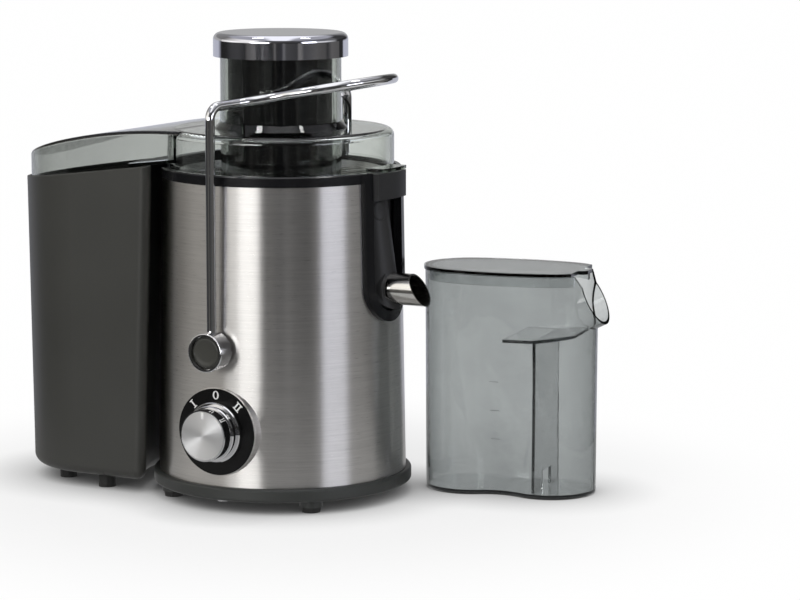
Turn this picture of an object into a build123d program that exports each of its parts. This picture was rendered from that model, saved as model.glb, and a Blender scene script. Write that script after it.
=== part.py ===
from build123d import *
from math import acos, atan2, copysign, cos, degrees, hypot, radians, sin, sqrt, tan
import os

# Juice extractor: a motor base in a brushed steel sleeve, a juice bowl with its
# spinning filter basket, a clear lid with feed chute and hood, a pulp container,
# a locking bail, a pusher, and a juice jug with its lid and froth separator.
# Millimetres, +Z up, front towards -Y, spout towards +X, pulp container towards -X.
# The origin is on the motor axis, on the surface that the feet stand on.

# Fits
shell_gap = 0.15
run_gap = 0.4
bearing_gap = 0.05

# Base pan and its feet
foot_count = 4
foot_angle = 45.0
foot_radius = 6.3
foot_height = 8.0
foot_pad_height = 3.5
foot_boss_radius = 7.2
foot_draft = 0.5
foot_circle = 72.0
foot_stem_radius = 2.6
foot_barb_radius = 3.6
foot_barb_height = 2.0
pan_thickness = 2.5
skirt_radius = 83.0
skirt_height = 8.5
skirt_round = 1.8
vent_count = 12
vent_circle = 34.0
vent_length = 18.0
vent_width = 3.0
base_screw_count = 4
base_screw_circle = 73.0
base_screw_radius = 1.8
base_screw_head_radius = 3.5
base_screw_head_height = 2.0
base_screw_length = 14.0

# Steel sleeve and the motor housing inside it
sleeve_height = 188.0
sleeve_bottom_radius = 79.5
sleeve_top_radius = 76.3
sleeve_wall = 0.8
housing_wall = 2.2
rim_band_height = 6.5
rim_band_proud = 0.4
rim_band_ease = 0.8
deck_thickness = 3.0
bowl_depth = 62.0
collar_radius = 16.0
collar_wall = 3.0
collar_height = 8.0
screw_boss_radius = 5.0
screw_boss_height = 20.0

# Niche for the spout, in the sleeve towards +X
niche_half_width = 24.5
niche_drop = 88.5
niche_frame_width = 6.7
niche_back = 50.0
niche_back_wall = 3.0
niche_proud = 3.0

# Motor, hung from the deck
post_count = 4
post_angle = 45.0
post_radius = 5.0
post_circle = 28.0
damper_height = 4.0
bracket_radius = 36.0
bracket_thickness = 4.0
bracket_rim = 3.0
bracket_reach = 15.0
bearing_radius = 11.0
bearing_width = 7.0
bearing_seat_wall = 3.0
stator_height = 30.0
stator_yoke = 7.5
pole_half_angle = 50.0
coil_half_angle = 66.0
coil_thickness = 4.5
coil_overhang = 7.0
air_gap = 0.6
armature_radius = 19.0
armature_slots = 12
armature_slot_width = 2.0
armature_slot_depth = 6.0
winding_radius = 15.0
winding_height = 7.0
commutator_radius = 11.0
commutator_height = 12.0
commutator_bars = 12
commutator_slit = 0.8
brush_width = 8.0
brush_length = 15.0
shaft_radius = 4.0
fan_radius = 30.0
fan_hub_radius = 8.0
fan_height = 10.0
fan_plate = 2.0
fan_blades = 9
fan_blade_width = 1.8
fan_drop = 4.0
fan_clearance = 11.0
motor_screw_radius = 2.0
motor_screw_head_radius = 3.6
motor_screw_head_height = 2.4

# Drive and filter basket
drive_radius = 11.5
drive_height = 11.0
socket_wall = 3.0
basket_plate_radius = 53.5
basket_plate_thickness = 2.5
grater_radius = 51.0
grater_thickness = 1.2
grater_rows = 5
grater_row_step = 8.4
grater_sparse_rows = 2
grater_teeth_per_ring = 8
grater_twist_angle = 11.0
tooth_size = 1.7
tooth_height = 1.8
tooth_lean_angle = 22.0
mesh_bottom_radius = 52.6
mesh_top_radius = 62.5
mesh_height = 33.0
mesh_wall = 0.7
basket_rim_radius = 66.0
basket_rim_height = 4.5
basket_rim_edge = 1.2

# Juice bowl, its rim block, duct and spout
bowl_radius = 72.6
bowl_draft = 2.0
bowl_wall = 2.2
bowl_floor = 2.6
bowl_rim_drop = 0.5
bowl_collar_radius = 22.0
bowl_collar_height = 18.0
block_radius = 83.0
block_height = 16.5
duct_top_radius = 12.0
duct_top_offset = 63.4
duct_bottom_radius = 14.5
duct_bottom_offset = 70.8
duct_wall = 2.2
duct_window_height = 22.0
duct_below_spout = 14.5
duct_niche_gap = 1.2
spout_drop = 73.5
spout_radius = 10.0
spout_wall = 0.8
spout_root = 77.0
spout_boss_radius = 12.2
spout_boss_end = 80.0
spout_top_reach = 95.0
spout_tip_reach = 106.0

# Clear lid with its feed chute, hood and locking lugs
lid_radius = 72.0
lid_wall = 2.4
lid_height = 24.5
lid_edge = 5.0
lid_lip_depth = 4.0
lid_lip_wall = 2.0
chute_radius = 38.5
chute_wall = 3.0
chute_rise = 45.0
chute_flare = 4.0
grater_clearance = 5.0
lug_offset = 66.0
lug_thickness = 3.2
lug_back = -9.0
lug_front = 12.8
lug_height = 15.5
lug_round = 10.0
hood_wall = 2.2
hood_inset_gap = 0.6
hood_edge = 2.5
hood_skirt = 2.5
hood_lift = 0.5
hood_start = -40.0
hood_start_drop = 0.2
hood_middle = -115.0
hood_middle_drop = 6.5
hood_end_drop = 26.0
hood_mouth_half_width = 43.0
bridge_thickness = 2.0
lid_tab_half_width = 15.0
lid_tab_reach = 84.0
lid_tab_thickness = 2.2

# Pulp container
container_half_width = 62.0
container_end_centre = -122.0
container_concave_radius = 83.0
container_corner = 5.0
container_rim_round = 0.7
container_wall = 2.2
container_floor = 2.6
container_draft = 2.5
container_curve_lean = 3.0
container_bottom = 8.5
container_bottom_round = 6.0
container_rim_lift = 0.1
container_rim_at = -75.0
container_rim_angle = 7.2
container_foot_radius = 5.5
container_foot_inner = (-105.0, 47.0)
container_foot_outer = (-145.0, 33.0)

# Locking bail
pivot_height = 102.5
pivot_radius = 4.0
pivot_boss_radius = 8.0
pivot_boss_proud = 2.4
pivot_head_radius = 7.0
pivot_head_height = 2.2
hub_radius = 12.2
hub_length = 12.5
hub_cap_radius = 10.4
hub_edge = 0.6
hub_cap_depth = 3.6
hub_cap_sink = 2.0
hub_cap_crown = 0.8
wire_radius = 3.0
wire_leg_inset = 3.9
wire_bend = 8.0
wire_knee_reach = 8.0
wire_knee_bend = 30.0
loop_radius = 45.0
loop_centre = 30.3
loop_angle = 10.7

# Pusher
pusher_radius = 31.2
pusher_wall = 2.4
pusher_floor = 3.0
pusher_end_gap = 8.0
pusher_guides = 3
pusher_guide_width = 5.0
flange_thickness = 2.6
cap_radius = 42.9
cap_height = 15.0
cap_wall = 1.3
cap_edge = 4.5

# Speed dial and knob
dial_height = 51.0
dial_radius = 27.3
dial_thickness = 1.0
dial_seat_edge = 0.6
dial_seat_round = 0.7
dial_seat_slope = 6.0
dial_seat_depth = 14.0
knob_skirt_radius = 19.0
knob_skirt_depth = 3.0
knob_step_radius = 17.4
knob_step_depth = 4.5
knob_radius = 16.2
knob_depth = 7.5
knob_face_radius = 15.4
knob_face_depth = 1.6
knob_face_proud = 0.5
knob_edge = 0.6
index_length = 4.2
index_width = 1.7
index_height = 0.3
index_edge = 0.5
spindle_radius = 3.0
spindle_bite = 9.0
switch_width = 26.0
switch_depth = 18.0
switch_neck_radius = 5.0
safety_switch_size = (20.0, 8.0, 11.0)
safety_switch_at = (-20.0, 52.0)

# Mains lead inlet, at the back
gland_height = 32.0
gland_radius = 5.0
gland_bore = 3.3
gland_flange_radius = 7.0
gland_flange_thickness = 2.0
gland_depth = 6.0

# Juice jug, standing beside the machine
jug_at = (128.0, 72.9)
jug_angle = 9.0
jug_height = 143.0
jug_lobe_radius = 30.0
jug_lobe_centre = 26.9
jug_waist_radius = 30.0
jug_bulge_radius = 140.0
jug_foot_edge = 1.2
jug_draft = 0.8
jug_wall = 2.0
jug_floor = 2.8
mouth_top = 48.0
mouth_lip = 63.8
mouth_lip_drop = 32.0
mouth_half_width = 19.0
mouth_depth = 30.0
jug_lid_thickness = 2.4
jug_lid_overhang = 0.8
jug_lid_skirt = 6.5
jug_lid_skirt_wall = 1.8
jug_lid_gap = 0.7
jug_lid_cut = 46.8
jug_lid_tab_half_width = 8.0
jug_lid_tab_length = 5.5
jug_lid_tab_round = 4.0
separator_at = 22.6
separator_thickness = 2.0
separator_gap = 0.8
separator_top = 102.0
separator_left_wing = 19.6
separator_right_wing = 24.6
separator_rise = 3.5
separator_foot_height = 12.0
separator_foot_width = 9.0

# Heights and radii that follow from the sizes above
pan_top = foot_height + pan_thickness
skirt_top = foot_height + skirt_height
sleeve_bottom = skirt_top
sleeve_top = sleeve_bottom + sleeve_height
rim_top = sleeve_top + rim_band_height
bowl_rim = rim_top - bowl_rim_drop
deck_top = bowl_rim - bowl_depth
deck_bottom = deck_top - deck_thickness
collar_top = deck_top + collar_height
niche_centre = sleeve_top - niche_drop + niche_half_width
niche_inner_half_width = niche_half_width - niche_frame_width
spout_height = bowl_rim - spout_drop
bowl_floor_top = deck_top + bowl_floor
bowl_collar_top = deck_top + bowl_collar_height
lid_top = bowl_rim + lid_height
chute_top = lid_top + chute_rise
chute_bore = chute_radius - chute_wall
drive_bottom = collar_top + run_gap
drive_top = drive_bottom + drive_height
plate_bottom = max(bowl_collar_top, drive_top) + 2 * run_gap
plate_top = plate_bottom + basket_plate_thickness
teeth_top = plate_top + grater_thickness + tooth_height
chute_bottom = teeth_top + grater_clearance
mesh_top = plate_top + mesh_height
fan_bottom = pan_top + fan_clearance
fan_top = fan_bottom + fan_height
lower_bracket_bottom = fan_top + fan_drop
lower_bracket_top = lower_bracket_bottom + bracket_thickness
stator_radius = bracket_radius
stator_bottom = lower_bracket_top + commutator_height + bracket_reach
stator_top = stator_bottom + stator_height
bracket_bottom = stator_top + bracket_reach
bracket_top = bracket_bottom + bracket_thickness
post_length = deck_bottom - damper_height - bracket_top
motor_screw_bite = post_length / 2
pole_radius = armature_radius + air_gap
cap_bottom = chute_top + run_gap
flange_bottom = chute_top + run_gap
flange_top = flange_bottom + flange_thickness
cap_top = cap_bottom + cap_height
container_rim_height = bowl_rim + container_rim_lift
container_inner_width = container_half_width - container_wall
container_inner_curve = container_concave_radius + container_wall
corner_angle = acos(container_inner_width / container_inner_curve)
corner_reach = container_corner / tan(corner_angle / 2)
corner_edge = sqrt(container_inner_curve ** 2 - container_inner_width ** 2) + corner_reach
hood_clear_radius = hypot(corner_edge, container_inner_width) + hood_inset_gap
bridge_radius = hood_clear_radius + bridge_thickness
rim_rise = tan(radians(container_rim_angle))
loop_rise = tan(radians(loop_angle))
wire_foot = pivot_height + pivot_head_radius + 2 * run_gap
loop_height = lid_top + lug_height + run_gap + wire_radius
dial_seat_radius = dial_radius + dial_seat_edge
far_out = 4 * skirt_radius


def sleeve_radius(height):
    """Outside radius of the tapered sleeve at a height."""
    share = (height - sleeve_bottom) / sleeve_height
    return sleeve_bottom_radius + share * (sleeve_top_radius - sleeve_bottom_radius)


def housing_radius(height):
    """Outside radius of the motor housing, which fills the sleeve."""
    return sleeve_radius(height) - sleeve_wall - shell_gap


def housing_bore(height):
    return housing_radius(height) - housing_wall


def dial_seat_face():
    """How far forward the dial's flat seat stands, clear of the sleeve at its lowest point."""
    return sleeve_radius(dial_height - dial_seat_radius) + shell_gap


def hub_face():
    """How far out the bail's hubs start, clear of the pivot bosses."""
    return sleeve_radius(pivot_height) + pivot_boss_proud + run_gap


def turned(points):
    """Solid turned about the Z axis from (radius, height) points."""
    return revolve(Plane.XZ * make_face(Polyline(*points, close=True)), Axis.Z)


def ring(outer, inner, bottom, top):
    return turned([(inner, bottom), (outer, bottom), (outer, top), (inner, top)])


def disc(radius, bottom, top):
    return Pos(0, 0, bottom) * extrude(Circle(radius), top - bottom)


def rod_y(radius, start, end, x, z):
    """Round bar along Y from start to end."""
    middle = (start + end) / 2
    return Pos(x, middle, z) * Rot(90, 0, 0) * Cylinder(radius, abs(end - start))


def rod_x(radius, start, end, y, z):
    """Round bar along X from start to end."""
    middle = (start + end) / 2
    return Pos(middle, y, z) * Rot(0, 90, 0) * Cylinder(radius, abs(end - start))


def side_prism(points):
    """Prism across the whole depth from (x, z) points."""
    return extrude(Plane.XZ * make_face(Polyline(*points, close=True)), far_out, both=True)


def sector(outer, inner, half_angle, bottom, top):
    """Piece of a ring about the +X direction."""
    reach = far_out / cos(radians(half_angle / 2))
    corners = [(0, 0)]
    for turn in (-half_angle, 0, half_angle):
        corners.append((reach * cos(radians(turn)), reach * sin(radians(turn))))
    wedge = extrude(make_face(Polyline(*corners, close=True)), top - bottom)
    return ring(outer, inner, bottom, top) & (Pos(0, 0, bottom) * wedge)


def around(count, radius, piece, start=0.0):
    """Copies of a piece about the Z axis, each at the radius."""
    return [place * piece for place in PolarLocations(radius, count, start_angle=start)]


def joined(pieces):
    whole = pieces[0]
    for piece in pieces[1:]:
        whole = whole + piece
    return whole


def base_feet():
    """Push-in rubber feet, barbed above the pan."""
    outline = [
        (0, 0),
        (foot_radius - foot_draft, 0),
        (foot_radius, foot_pad_height),
        (foot_stem_radius, foot_pad_height),
        (foot_stem_radius, pan_top),
        (foot_barb_radius, pan_top),
        (foot_stem_radius, pan_top + foot_barb_height),
        (0, pan_top + foot_barb_height),
    ]
    return Compound(around(foot_count, foot_circle, turned(outline), foot_angle))


def base_pan():
    """Moulded bottom cover: a rounded skirt that the sleeve stands on, and bosses for the feet."""
    inner = housing_radius(pan_top) + shell_gap
    pan = disc(skirt_radius, foot_height, skirt_top)
    pan = fillet(pan.edges().filter_by(GeomType.CIRCLE), skirt_round)
    pan -= disc(inner, pan_top, skirt_top)
    pan += around(foot_count, foot_circle, disc(foot_boss_radius, foot_pad_height, foot_height), foot_angle)
    slot = extrude(SlotOverall(vent_length, vent_width), skirt_height)
    cutters = around(vent_count, vent_circle, Pos(0, 0, foot_height) * slot)
    stem = disc(foot_stem_radius + shell_gap, foot_pad_height, pan_top)
    cutters += around(foot_count, foot_circle, stem, foot_angle)
    screw = disc(base_screw_radius + shell_gap, foot_height, pan_top)
    cutters += around(base_screw_count, base_screw_circle, screw)
    return pan - cutters


def base_screws():
    """Screws up through the pan into the housing's bosses."""
    screw = disc(base_screw_head_radius, foot_height - base_screw_head_height, foot_height)
    screw += disc(base_screw_radius, foot_height, foot_height + base_screw_length)
    return Compound(around(base_screw_count, base_screw_circle, screw))


def niche_prism(half_width, start, top):
    """U-shaped prism along X: round at its foot and open at the top."""
    middle = (niche_centre + top) / 2
    outline = Pos(0, niche_centre) * Circle(half_width)
    outline += Pos(0, middle) * Rectangle(2 * half_width, top - niche_centre)
    return Pos(start, 0, 0) * extrude(Plane.YZ * outline, far_out)


def sleeve_cone(inset):
    """Tapered block as high as the sleeve, inside its outer face by the inset."""
    return turned([
        (0, sleeve_bottom),
        (sleeve_radius(sleeve_bottom) - inset, sleeve_bottom),
        (sleeve_radius(sleeve_top) - inset, sleeve_top),
        (0, sleeve_top),
    ])


def dial_seat(inset):
    """Flat-topped cone pressed out of the sleeve for the dial, inside its outer face by the inset."""
    slope = radians(dial_seat_slope)
    top_radius = dial_seat_radius + inset * tan(slope) - inset / cos(slope)
    foot_radius = top_radius + (dial_seat_depth - inset) * tan(slope)
    seat = turned([
        (0, inset),
        (top_radius, inset),
        (foot_radius, dial_seat_depth),
        (0, dial_seat_depth),
    ])
    if dial_seat_round > inset:
        seat = fillet(seat.edges().group_by(Axis.Z)[0], dial_seat_round - inset)
    seat = Pos(0, -dial_seat_face(), dial_height) * Rot(-90, 0, 0) * seat
    return seat & disc(far_out, sleeve_bottom, sleeve_top)


def steel_sleeve():
    """Rolled sheet sleeve with a flat seat pressed out for the dial, notched for the spout."""
    sleeve = sleeve_cone(0) + dial_seat(0)
    sleeve -= dial_seat(sleeve_wall)
    sleeve -= sleeve_cone(sleeve_wall)
    sleeve -= niche_prism(niche_half_width + shell_gap, niche_back, rim_top)
    sleeve -= rod_y(switch_neck_radius + shell_gap, -skirt_radius, 0, 0, dial_height)
    sleeve -= rod_y(pivot_boss_radius + shell_gap, -skirt_radius, skirt_radius, 0, pivot_height)
    return sleeve - rod_y(gland_radius + shell_gap, 0, skirt_radius, 0, gland_height)


def motor_housing():
    """Moulded inner housing: wall, rim band, deck with collar, bosses and motor posts."""
    housing = turned([
        (housing_bore(pan_top), pan_top),
        (housing_radius(pan_top), pan_top),
        (housing_radius(sleeve_top), sleeve_top),
        (sleeve_top_radius + rim_band_proud, sleeve_top),
        (sleeve_top_radius + rim_band_proud, rim_top - rim_band_ease),
        (sleeve_top_radius + rim_band_proud - rim_band_ease, rim_top),
        (housing_bore(sleeve_top), rim_top),
        (housing_bore(deck_top), deck_top),
        (collar_radius, deck_top),
        (collar_radius, collar_top),
        (collar_radius - collar_wall, collar_top),
        (collar_radius - collar_wall, deck_bottom),
        (housing_bore(deck_bottom), deck_bottom),
    ])
    boss = disc(screw_boss_radius, pan_top, pan_top + screw_boss_height)
    envelope = turned([
        (0, pan_top),
        (housing_radius(pan_top), pan_top),
        (housing_radius(deck_top), deck_top),
        (0, deck_top),
    ])
    housing += [boss & envelope for boss in around(base_screw_count, base_screw_circle, boss)]
    post = disc(post_radius, deck_bottom - post_length, deck_bottom)
    housing += around(post_count, post_circle, post, post_angle)
    boss_face = sleeve_radius(pivot_height) + pivot_boss_proud
    boss_back = housing_bore(pivot_height) - pivot_boss_radius
    for side in (-1, 1):
        housing += rod_y(pivot_boss_radius, side * boss_back, side * boss_face, 0, pivot_height)
        housing -= rod_y(pivot_radius + bearing_gap, 0, side * skirt_radius, 0, pivot_height)
    housing -= niche_prism(niche_half_width + shell_gap, niche_back - shell_gap, rim_top)
    housing -= rod_y(switch_neck_radius + shell_gap, -skirt_radius, 0, 0, dial_height)
    housing -= rod_y(gland_radius + shell_gap, 0, skirt_radius, 0, gland_height)
    screw = disc(base_screw_radius, pan_top, foot_height + base_screw_length)
    housing -= around(base_screw_count, base_screw_circle, screw)
    post_foot = deck_bottom - post_length
    bite = disc(motor_screw_radius, post_foot, post_foot + motor_screw_bite)
    return housing - around(post_count, post_circle, bite, post_angle)


def spout_surround():
    """Moulded frame of the spout niche, with a back wall below the deck."""
    envelope = turned([
        (0, skirt_top),
        (sleeve_radius(skirt_top) + niche_proud, skirt_top),
        (sleeve_radius(rim_top) + niche_proud, rim_top),
        (0, rim_top),
    ])
    surround = niche_prism(niche_half_width, niche_back, rim_top) & envelope
    surround -= niche_prism(niche_inner_half_width, niche_back + niche_back_wall, rim_top)
    return surround - disc(housing_bore(deck_top), deck_top, rim_top)


def motor_dampers():
    damper = ring(post_radius, motor_screw_radius + bearing_gap, bracket_top, bracket_top + damper_height)
    return Compound(around(post_count, post_circle, damper, post_angle))


def motor_screws():
    """Screws up through the upper bracket and the dampers into the posts."""
    end = bracket_top + damper_height + motor_screw_bite
    screw = disc(motor_screw_radius, bracket_bottom, end)
    screw += disc(motor_screw_head_radius, bracket_bottom - motor_screw_head_height, bracket_bottom)
    return Compound(around(post_count, post_circle, screw, post_angle))


def upper_bracket():
    """Cup that clamps the stator from above and seats the upper bearing."""
    seat = bearing_radius + bearing_seat_wall
    bracket = turned([
        (bearing_radius, bracket_top - bearing_width),
        (seat, bracket_top - bearing_width),
        (seat, bracket_bottom),
        (bracket_radius - bracket_rim, bracket_bottom),
        (bracket_radius - bracket_rim, stator_top),
        (bracket_radius, stator_top),
        (bracket_radius, bracket_top),
        (bearing_radius, bracket_top),
    ])
    hole = disc(motor_screw_radius + shell_gap, bracket_bottom, bracket_top)
    return bracket - around(post_count, post_circle, hole, post_angle)


def lower_bracket():
    """Cup that clamps the stator from below and seats the lower bearing."""
    seat = bearing_radius + bearing_seat_wall
    return turned([
        (bearing_radius, lower_bracket_bottom),
        (bracket_radius, lower_bracket_bottom),
        (bracket_radius, stator_bottom),
        (bracket_radius - bracket_rim, stator_bottom),
        (bracket_radius - bracket_rim, lower_bracket_top),
        (seat, lower_bracket_top),
        (seat, lower_bracket_bottom + bearing_width),
        (bearing_radius, lower_bracket_bottom + bearing_width),
    ])


def bearing(bottom):
    return ring(bearing_radius, shaft_radius + bearing_gap, bottom, bottom + bearing_width)


def motor_stator():
    """Laminated ring with two poles facing the armature."""
    yoke_bore = stator_radius - stator_yoke
    stator = ring(stator_radius, yoke_bore, stator_bottom, stator_top)
    pole = sector(yoke_bore, pole_radius, pole_half_angle, stator_bottom, stator_top)
    return stator + pole + Rot(0, 0, 180) * pole


def field_coils():
    """Saddle coils round the two poles."""
    outer = stator_radius - stator_yoke - shell_gap
    bottom = stator_bottom - coil_overhang
    top = stator_top + coil_overhang
    coil = sector(outer, outer - coil_thickness, coil_half_angle, bottom, top)
    window = pole_half_angle + degrees(shell_gap / pole_radius)
    coil -= sector(stator_radius, pole_radius - coil_thickness, window,
                   stator_bottom - shell_gap, stator_top + shell_gap)
    return Compound([coil, Rot(0, 0, 180) * coil])


def brush_holders():
    """Two brush boxes that stand on the lower bracket and face the commutator."""
    start = commutator_radius + run_gap
    bottom = lower_bracket_bottom + bearing_width
    holder = Pos(start + brush_length / 2, 0, lower_bracket_top) * Box(
        brush_length, brush_width, commutator_height,
        align=(Align.CENTER, Align.CENTER, Align.MIN))
    holder -= disc(bearing_radius + bearing_seat_wall + shell_gap, lower_bracket_top, bottom)
    return Compound([Rot(0, 0, 90) * holder, Rot(0, 0, -90) * holder])


def motor_shaft():
    return disc(shaft_radius, fan_bottom, drive_top - run_gap)


def armature_core():
    core = ring(armature_radius, shaft_radius, stator_bottom, stator_top)
    slot = Pos(-armature_slot_depth / 2, 0, (stator_bottom + stator_top) / 2) * Box(
        armature_slot_depth, armature_slot_width, stator_height)
    return core - around(armature_slots, armature_radius, slot)


def armature_windings():
    """End turns of the armature, above and below the core."""
    upper = ring(winding_radius, shaft_radius, stator_top, stator_top + winding_height)
    lower = ring(winding_radius, shaft_radius, stator_bottom - winding_height, stator_bottom)
    return Compound([upper, lower])


def commutator():
    top = stator_bottom - winding_height
    bottom = lower_bracket_bottom + bearing_width + run_gap
    bars = ring(commutator_radius, shaft_radius, bottom, top)
    slit = Pos(0, 0, (top + bottom) / 2) * Box(2 * commutator_slit, commutator_slit, top - bottom)
    return bars - around(commutator_bars, commutator_radius, slit)


def cooling_fan():
    fan = ring(fan_hub_radius, shaft_radius, fan_bottom, fan_top)
    fan += ring(fan_radius, shaft_radius, fan_top - fan_plate, fan_top)
    length = fan_radius - fan_hub_radius
    blade = Pos(-length / 2, 0, fan_bottom) * Box(
        length + fan_blade_width, fan_blade_width, fan_height,
        align=(Align.CENTER, Align.CENTER, Align.MIN))
    return (fan + around(fan_blades, fan_radius, blade)) & disc(fan_radius, fan_bottom, fan_top)


def shaft_seal():
    """Lip seal in the deck's collar, round the shaft."""
    return ring(collar_radius - collar_wall, shaft_radius + bearing_gap, deck_bottom, deck_top)


def drive_coupling():
    """Six-sided driver on the shaft's end."""
    driver = Pos(0, 0, drive_bottom) * extrude(RegularPolygon(drive_radius, 6), drive_height)
    return driver - disc(shaft_radius, drive_bottom, drive_top - run_gap)


def basket_base():
    """Moulded plate of the basket, with the socket that drops over the driver."""
    socket_radius = drive_radius + shell_gap + socket_wall
    base = turned([
        (0, drive_bottom),
        (socket_radius, drive_bottom),
        (socket_radius, plate_bottom),
        (basket_plate_radius, plate_bottom),
        (basket_plate_radius, plate_top),
        (0, plate_top),
    ])
    socket = extrude(RegularPolygon(drive_radius + shell_gap, 6), plate_bottom - drive_bottom)
    return base - Pos(0, 0, drive_bottom) * socket


def grater_disc():
    """Steel disc with rings of raised teeth, each ring turned on from the last."""
    disc_top = plate_top + grater_thickness
    grater = disc(grater_radius, plate_top, disc_top)
    tooth = extrude(RegularPolygon(tooth_size, 3), tooth_height, taper=tooth_lean_angle)
    for row in range(1, grater_rows + 1):
        place = row * grater_row_step
        count = grater_teeth_per_ring if row <= grater_sparse_rows else 2 * grater_teeth_per_ring
        grater += around(count, place, Pos(0, 0, disc_top) * tooth, row * grater_twist_angle)
    return grater


def basket_mesh():
    """Conical filter screen that stands on the basket's plate."""
    return turned([
        (mesh_bottom_radius - mesh_wall, plate_top),
        (mesh_bottom_radius, plate_top),
        (mesh_top_radius, mesh_top),
        (mesh_top_radius - mesh_wall, mesh_top),
    ])


def basket_rim():
    """Flared steel rim on top of the screen, with a turned-down edge."""
    bore = mesh_top_radius - mesh_wall
    edge = basket_rim_edge
    return turned([
        (bore, mesh_top),
        (mesh_top_radius, mesh_top),
        (basket_rim_radius - edge, mesh_top + basket_rim_height - edge),
        (basket_rim_radius - edge, mesh_top),
        (basket_rim_radius, mesh_top),
        (basket_rim_radius, mesh_top + basket_rim_height),
        (basket_rim_radius - edge, mesh_top + basket_rim_height),
    ])


def duct(shrink, bottom, top):
    """Tapered duct from under the rim block down to the spout."""
    low = spout_height - duct_below_spout
    high = bowl_rim - block_height
    sections = []
    for height in (bottom, top):
        share = (height - low) / (high - low)
        radius = duct_bottom_radius + share * (duct_top_radius - duct_bottom_radius)
        offset = duct_bottom_offset + share * (duct_top_offset - duct_bottom_offset)
        sections.append(Pos(offset, 0, height) * Circle(radius - shrink))
    reach = niche_inner_half_width - duct_niche_gap - shrink
    return loft(sections, ruled=True) & niche_prism(reach, 0, rim_top)


def pulp_lip():
    """Lip of the bowl that carries the pulp over the container's rim, under the hood."""
    below = above_rim(hood_lift + bridge_thickness)
    lip = above_rim(hood_lift) & ring(bridge_radius, bowl_radius - bowl_wall, 0, far_out)
    lip += ring(bowl_radius, bowl_radius - bowl_wall, bowl_rim - bowl_wall, far_out)
    width = 2 * (hood_mouth_half_width - run_gap)
    return (lip - below) & Pos(-far_out / 2, 0, bowl_rim) * Box(far_out, width, far_out)


def juice_bowl():
    """Bowl with a draining floor, a rim block over the niche and a duct to the spout."""
    bottom_radius = bowl_radius - bowl_draft
    outside = turned([
        (0, deck_top),
        (bottom_radius, deck_top),
        (bowl_radius, bowl_rim),
        (0, bowl_rim),
    ])
    low = spout_height - duct_below_spout
    high = bowl_rim - block_height
    block_half_width = niche_inner_half_width - run_gap
    block = disc(block_radius, high, bowl_rim) & Pos(far_out / 2, 0, (high + bowl_rim) / 2) * Box(
        far_out, 2 * block_half_width, block_height)
    boss = rod_x(spout_boss_radius, duct_bottom_offset, spout_boss_end, 0, spout_height)
    bowl = outside + block + duct(0, low, high) + boss
    bowl -= turned([
        (bowl_collar_radius, bowl_floor_top),
        (bottom_radius - bowl_wall, bowl_floor_top),
        (bowl_radius - bowl_wall, bowl_rim),
        (0, bowl_rim),
        (0, bowl_collar_top),
        (bowl_collar_radius, bowl_collar_top),
    ])
    bowl -= disc(bowl_collar_radius - bowl_wall, deck_top, bowl_collar_top)
    bowl -= duct(duct_wall, low + duct_wall, bowl_floor_top + duct_window_height)
    bowl -= rod_x(spout_radius - spout_wall, duct_bottom_offset, spout_root, 0, spout_height)
    bowl += pulp_lip()
    return bowl - rod_x(spout_radius + bearing_gap, spout_root, far_out, 0, spout_height)


def steel_spout():
    """Steel tube pressed into the duct's boss, its mouth cut on the slant."""
    tube = rod_x(spout_radius, spout_root, spout_tip_reach, 0, spout_height)
    tube -= rod_x(spout_radius - spout_wall, spout_root, spout_tip_reach, 0, spout_height)
    top = spout_height + spout_radius
    bottom = spout_height - spout_radius
    beyond = [(spout_top_reach, top), (far_out, top), (far_out, bottom), (spout_tip_reach, bottom)]
    return tube - side_prism(beyond)


def rim_plane(x):
    """Height of the pulp container's slanting rim."""
    return container_rim_height + rim_rise * (x - container_rim_at)


def above_rim(lift):
    """Everything above a plane that runs parallel to the container's rim."""
    left = container_end_centre - far_out
    return side_prism([
        (left, rim_plane(left) + lift),
        (0, rim_plane(0) + lift),
        (0, far_out),
        (left, far_out),
    ])


def container_plan(inset, lean):
    """Plan of the pulp container: round end, straight sides, and a side that leans off the sleeve."""
    half_width = container_half_width - inset
    plan = Pos(container_end_centre, 0) * Circle(half_width)
    plan += Pos(container_end_centre / 2, 0) * Rectangle(-container_end_centre, 2 * half_width)
    plan -= Circle(container_concave_radius + inset + lean)
    corners = plan.vertices().sort_by(Axis.X)[-2:]
    return fillet(corners, container_corner)


def container_block(inset, bottom):
    """Tapered block on the container's plan, as high as the rim's highest corner."""
    top = rim_plane(0)
    share = (top - bottom) / (top - container_bottom)
    sections = [
        Pos(0, 0, bottom) * container_plan(inset + share * container_draft, share * container_curve_lean),
        Pos(0, 0, top) * container_plan(inset, 0),
    ]
    return loft(sections, ruled=True)


def pulp_container():
    """Open pulp bin with a slanting rim and rounded bottom edges."""
    outside = container_block(0, container_bottom)
    outside = fillet(outside.edges().group_by(Axis.Z)[0], container_bottom_round)
    inside = container_block(container_wall, container_bottom + container_floor)
    inside = fillet(inside.edges().group_by(Axis.Z)[0], container_bottom_round - container_wall)
    bin_shell = outside - inside - above_rim(0)
    on_rim = shell_gap / 2
    rim = [edge for edge in bin_shell.edges() if abs(edge.center().Z - rim_plane(edge.center().X)) < on_rim]
    return fillet(rim, container_rim_round)


def pulp_container_feet():
    feet = []
    for x, y in (container_foot_inner, container_foot_outer):
        for side in (-1, 1):
            feet.append(Pos(x, side * y, 0) * disc(container_foot_radius, 0, container_bottom))
    return Compound(feet)


def hood_half_width():
    """Half width of the hood, whose skirt drops inside the tapered container."""
    highest = rim_plane(0)
    lowest = rim_plane(container_end_centre - container_half_width) - hood_skirt
    taper = container_draft * (highest - lowest) / (highest - container_bottom)
    return container_half_width - container_wall - taper - hood_inset_gap


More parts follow.
